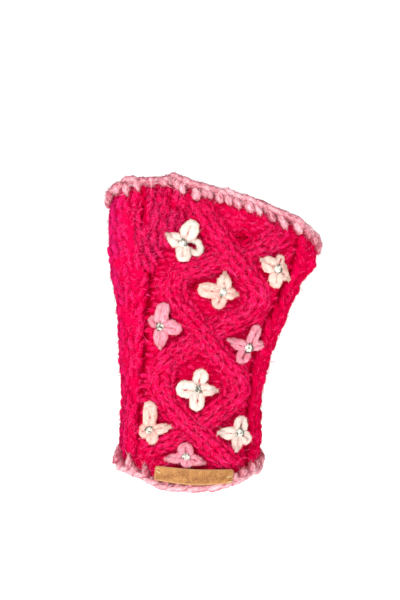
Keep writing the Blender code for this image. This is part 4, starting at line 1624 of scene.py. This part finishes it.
hand_legs = edge_legs(HAND_EDGE_STITCHES, HAND_LEGS, 1.0, 0.15, 0.5, between=1.0)
wrist_legs = edge_legs(WRIST_EDGE_STITCHES, WRIST_LEGS, 1.15, -0.35, 0.25, between=0.35)
hand_strands = crochet(hand_rim, HAND_EDGE_STITCHES, 1, 4.7, hand_legs, messy=1.0, pale=0.0)
wrist_strands = crochet(wrist_rim, WRIST_EDGE_STITCHES, -1, 5.6, wrist_legs, messy=0.3, pale=0.5)
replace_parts(yarn("hand_trim", hand_strands, TRIM_PINK), "hand_edging")
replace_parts(yarn("wrist_trim", wrist_strands, TRIM_PINK), "wrist_edging")

STONE_LIFT = 3.1        # from the panel's outside to the middle of a stone
stone_places = []
slit_sets = []
petal_sets = {"cream": [], "peach": [], "pink": []}
for node, (dye, centre, petals) in DAISIES.items():
    loops, slits = petal_strands(centre, petals)
    slit_sets += slits
    if node == "daisy_1":
        loops.append(loose_loop(centre))
    petal_sets[dye] += loops
    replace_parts(yarn(node + "_petals", loops, PETALS[dye]), node)
    base = float(surface_y(np.array([centre[0]]), np.array([centre[1]]))[0])
    stone_places.append(((centre[0], base - STONE_LIFT, centre[1]), draw.uniform(0, 1)))
stones(stone_places)
# the slits' strands use the darker ground wool, as painted shade
yarn("petal_slits", slit_sets, CRIMSON_PAINTED_SHADE)

label_piece()
label_stitches()

# Each halo's blades and fine fibres have their count, length, width, lift, lie, face, stray and even,
# and its long hairs their yarn, count and length.
cable_halo = halo(
    "cable_halo", CRIMSON_FUZZ, cables,
    (17000, 2.2, 0.11, 0.12, 1.0, 0.95, 0.45), (56000, 1.2, 0.07, 0.5, 0.8, 0.8, 0.5), (cables, 300, 5.0))
front_wool = [outer_band, ground]
front_halo = halo(
    "front_halo", CRIMSON_FUZZ, front_wool,
    (13000, 2.4, 0.12, 0.12, 1.0, 0.95, 0.6), (40000, 1.2, 0.07, 0.5, 0.8, 0.8, 0.5), (front_wool, 200, 5.0))
soft_wool = [thumb_band, corner]
soft_halo = halo(
    "soft_halo", CRIMSON_NAP, soft_wool,
    (27000, 2.0, 0.13, 0.08, 0.8, 0.95, 0.9, 1.0), (54000, 1.2, 0.10, 0.4, 0.5, 0.8, 1.0, 1.0),
    (soft_wool, 90, 4.0))
palm_halo = halo(
    "palm_halo", CRIMSON_FUZZ, [palm] + seams,
    (10000, 2.6, 0.14, 0.1, 1.0, 0.95, 0.6), (26000, 1.3, 0.09, 0.5, 0.8, 0.8, 0.5), ([palm], 150, 5.0))
curls = yarn("curly_hairs", curly_hairs(), CRIMSON_FUZZ)
edge_wool = hand_strands[3:] + wrist_strands[3:]    # all but the cores
halo(
    "trim_halo", TRIM_FUZZ, edge_wool,
    (7000, 1.7, 0.10, 0.25, 1.0, 0.95, 0.9), (36000, 1.3, 0.08, 1.1, 0.8, 0.8, 0.9), (edge_wool, 90, 2.5))
for dye, loops in petal_sets.items():
    halo(
        dye + "_halo", PETALS[dye], loops,
        (1500, 1.1, 0.11, 0.12, 1.0, 0.95, 0.4, 1.5), (10000, 0.8, 0.08, 0.5, 0.8, 0.8, 0.5, 1.5))


# --- Stage, light and camera ------------------------------------------------------------------

WHITE = (1.0, 1.0, 1.0, 1.0)


def stage_floor():
    work = Material("pale_floor")
    tone = work.noise(work.place(), 3.0, 2.0, 0.5)
    work.fill(work.shader, {
        "Base Color": work.ramp(tone, [(0.0, (0.95, 0.95, 0.95)), (1.0, (0.99, 0.99, 0.99))]),
        "Roughness": 0.9,
        "Specular IOR Level": 0.0,
        "Emission Color": WHITE,
        "Emission Strength": 0.95,
    })
    disc = bmesh.new()
    bmesh.ops.create_circle(disc, cap_ends=True, segments=96, radius=2.4)
    floor = bmesh_object("floor", disc, work.made)
    floor.location = (0.0, 0.0, -0.090)


def backdrop():
    """A white dome that only the camera sees, so that the light stays the world's and the lamps'."""
    work = Material("white_backdrop")
    work.fill(work.shader, {
        "Base Color": (0.0, 0.0, 0.0, 1.0),
        "Emission Color": WHITE,
        "Emission Strength": 1.1,
    })
    ball = bmesh.new()
    bmesh.ops.create_icosphere(ball, subdivisions=4, radius=6.0)
    dome = bmesh_object("backdrop", ball, work.made)
    dome.visible_diffuse = False
    dome.visible_glossy = False
    dome.visible_transmission = False
    dome.visible_shadow = False


def area_light(name, place, size, power):
    """A round lamp that points at the middle of the part."""
    lamp = bpy.data.lights.new(name, "AREA")
    lamp.shape = "DISK"
    lamp.size = size
    lamp.energy = power
    made = linked(name, lamp)
    made.location = place
    made.rotation_euler = (Vector((0.0, 0.0, 0.05)) - Vector(place)).to_track_quat("-Z", "Y").to_euler()
    made.visible_camera = False


stage_floor()
backdrop()
area_light("key", (-0.53, -1.40, 0.90), 0.7, 15.9)
area_light("back", (0.0, 1.3, 0.9), 0.8, 5.0)

world = bpy.data.worlds.new("studio")
world.use_nodes = True
background = world.node_tree.nodes["Background"]
background.inputs["Color"].default_value = WHITE
background.inputs["Strength"].default_value = 0.42
scene = bpy.context.scene
scene.world = world
scene.view_settings.view_transform = "Standard"

lens = bpy.data.cameras.new("camera")
lens.sensor_fit = "VERTICAL"
lens.sensor_height = 36.0
lens.lens = 187.5
lens.clip_start = 0.05
lens.clip_end = 20.0
camera = linked("camera", lens)
camera.location = (0.0048, -1.5, 0.0624)
camera.rotation_euler = (math.pi / 2, 0.0, 0.0)
scene.camera = camera
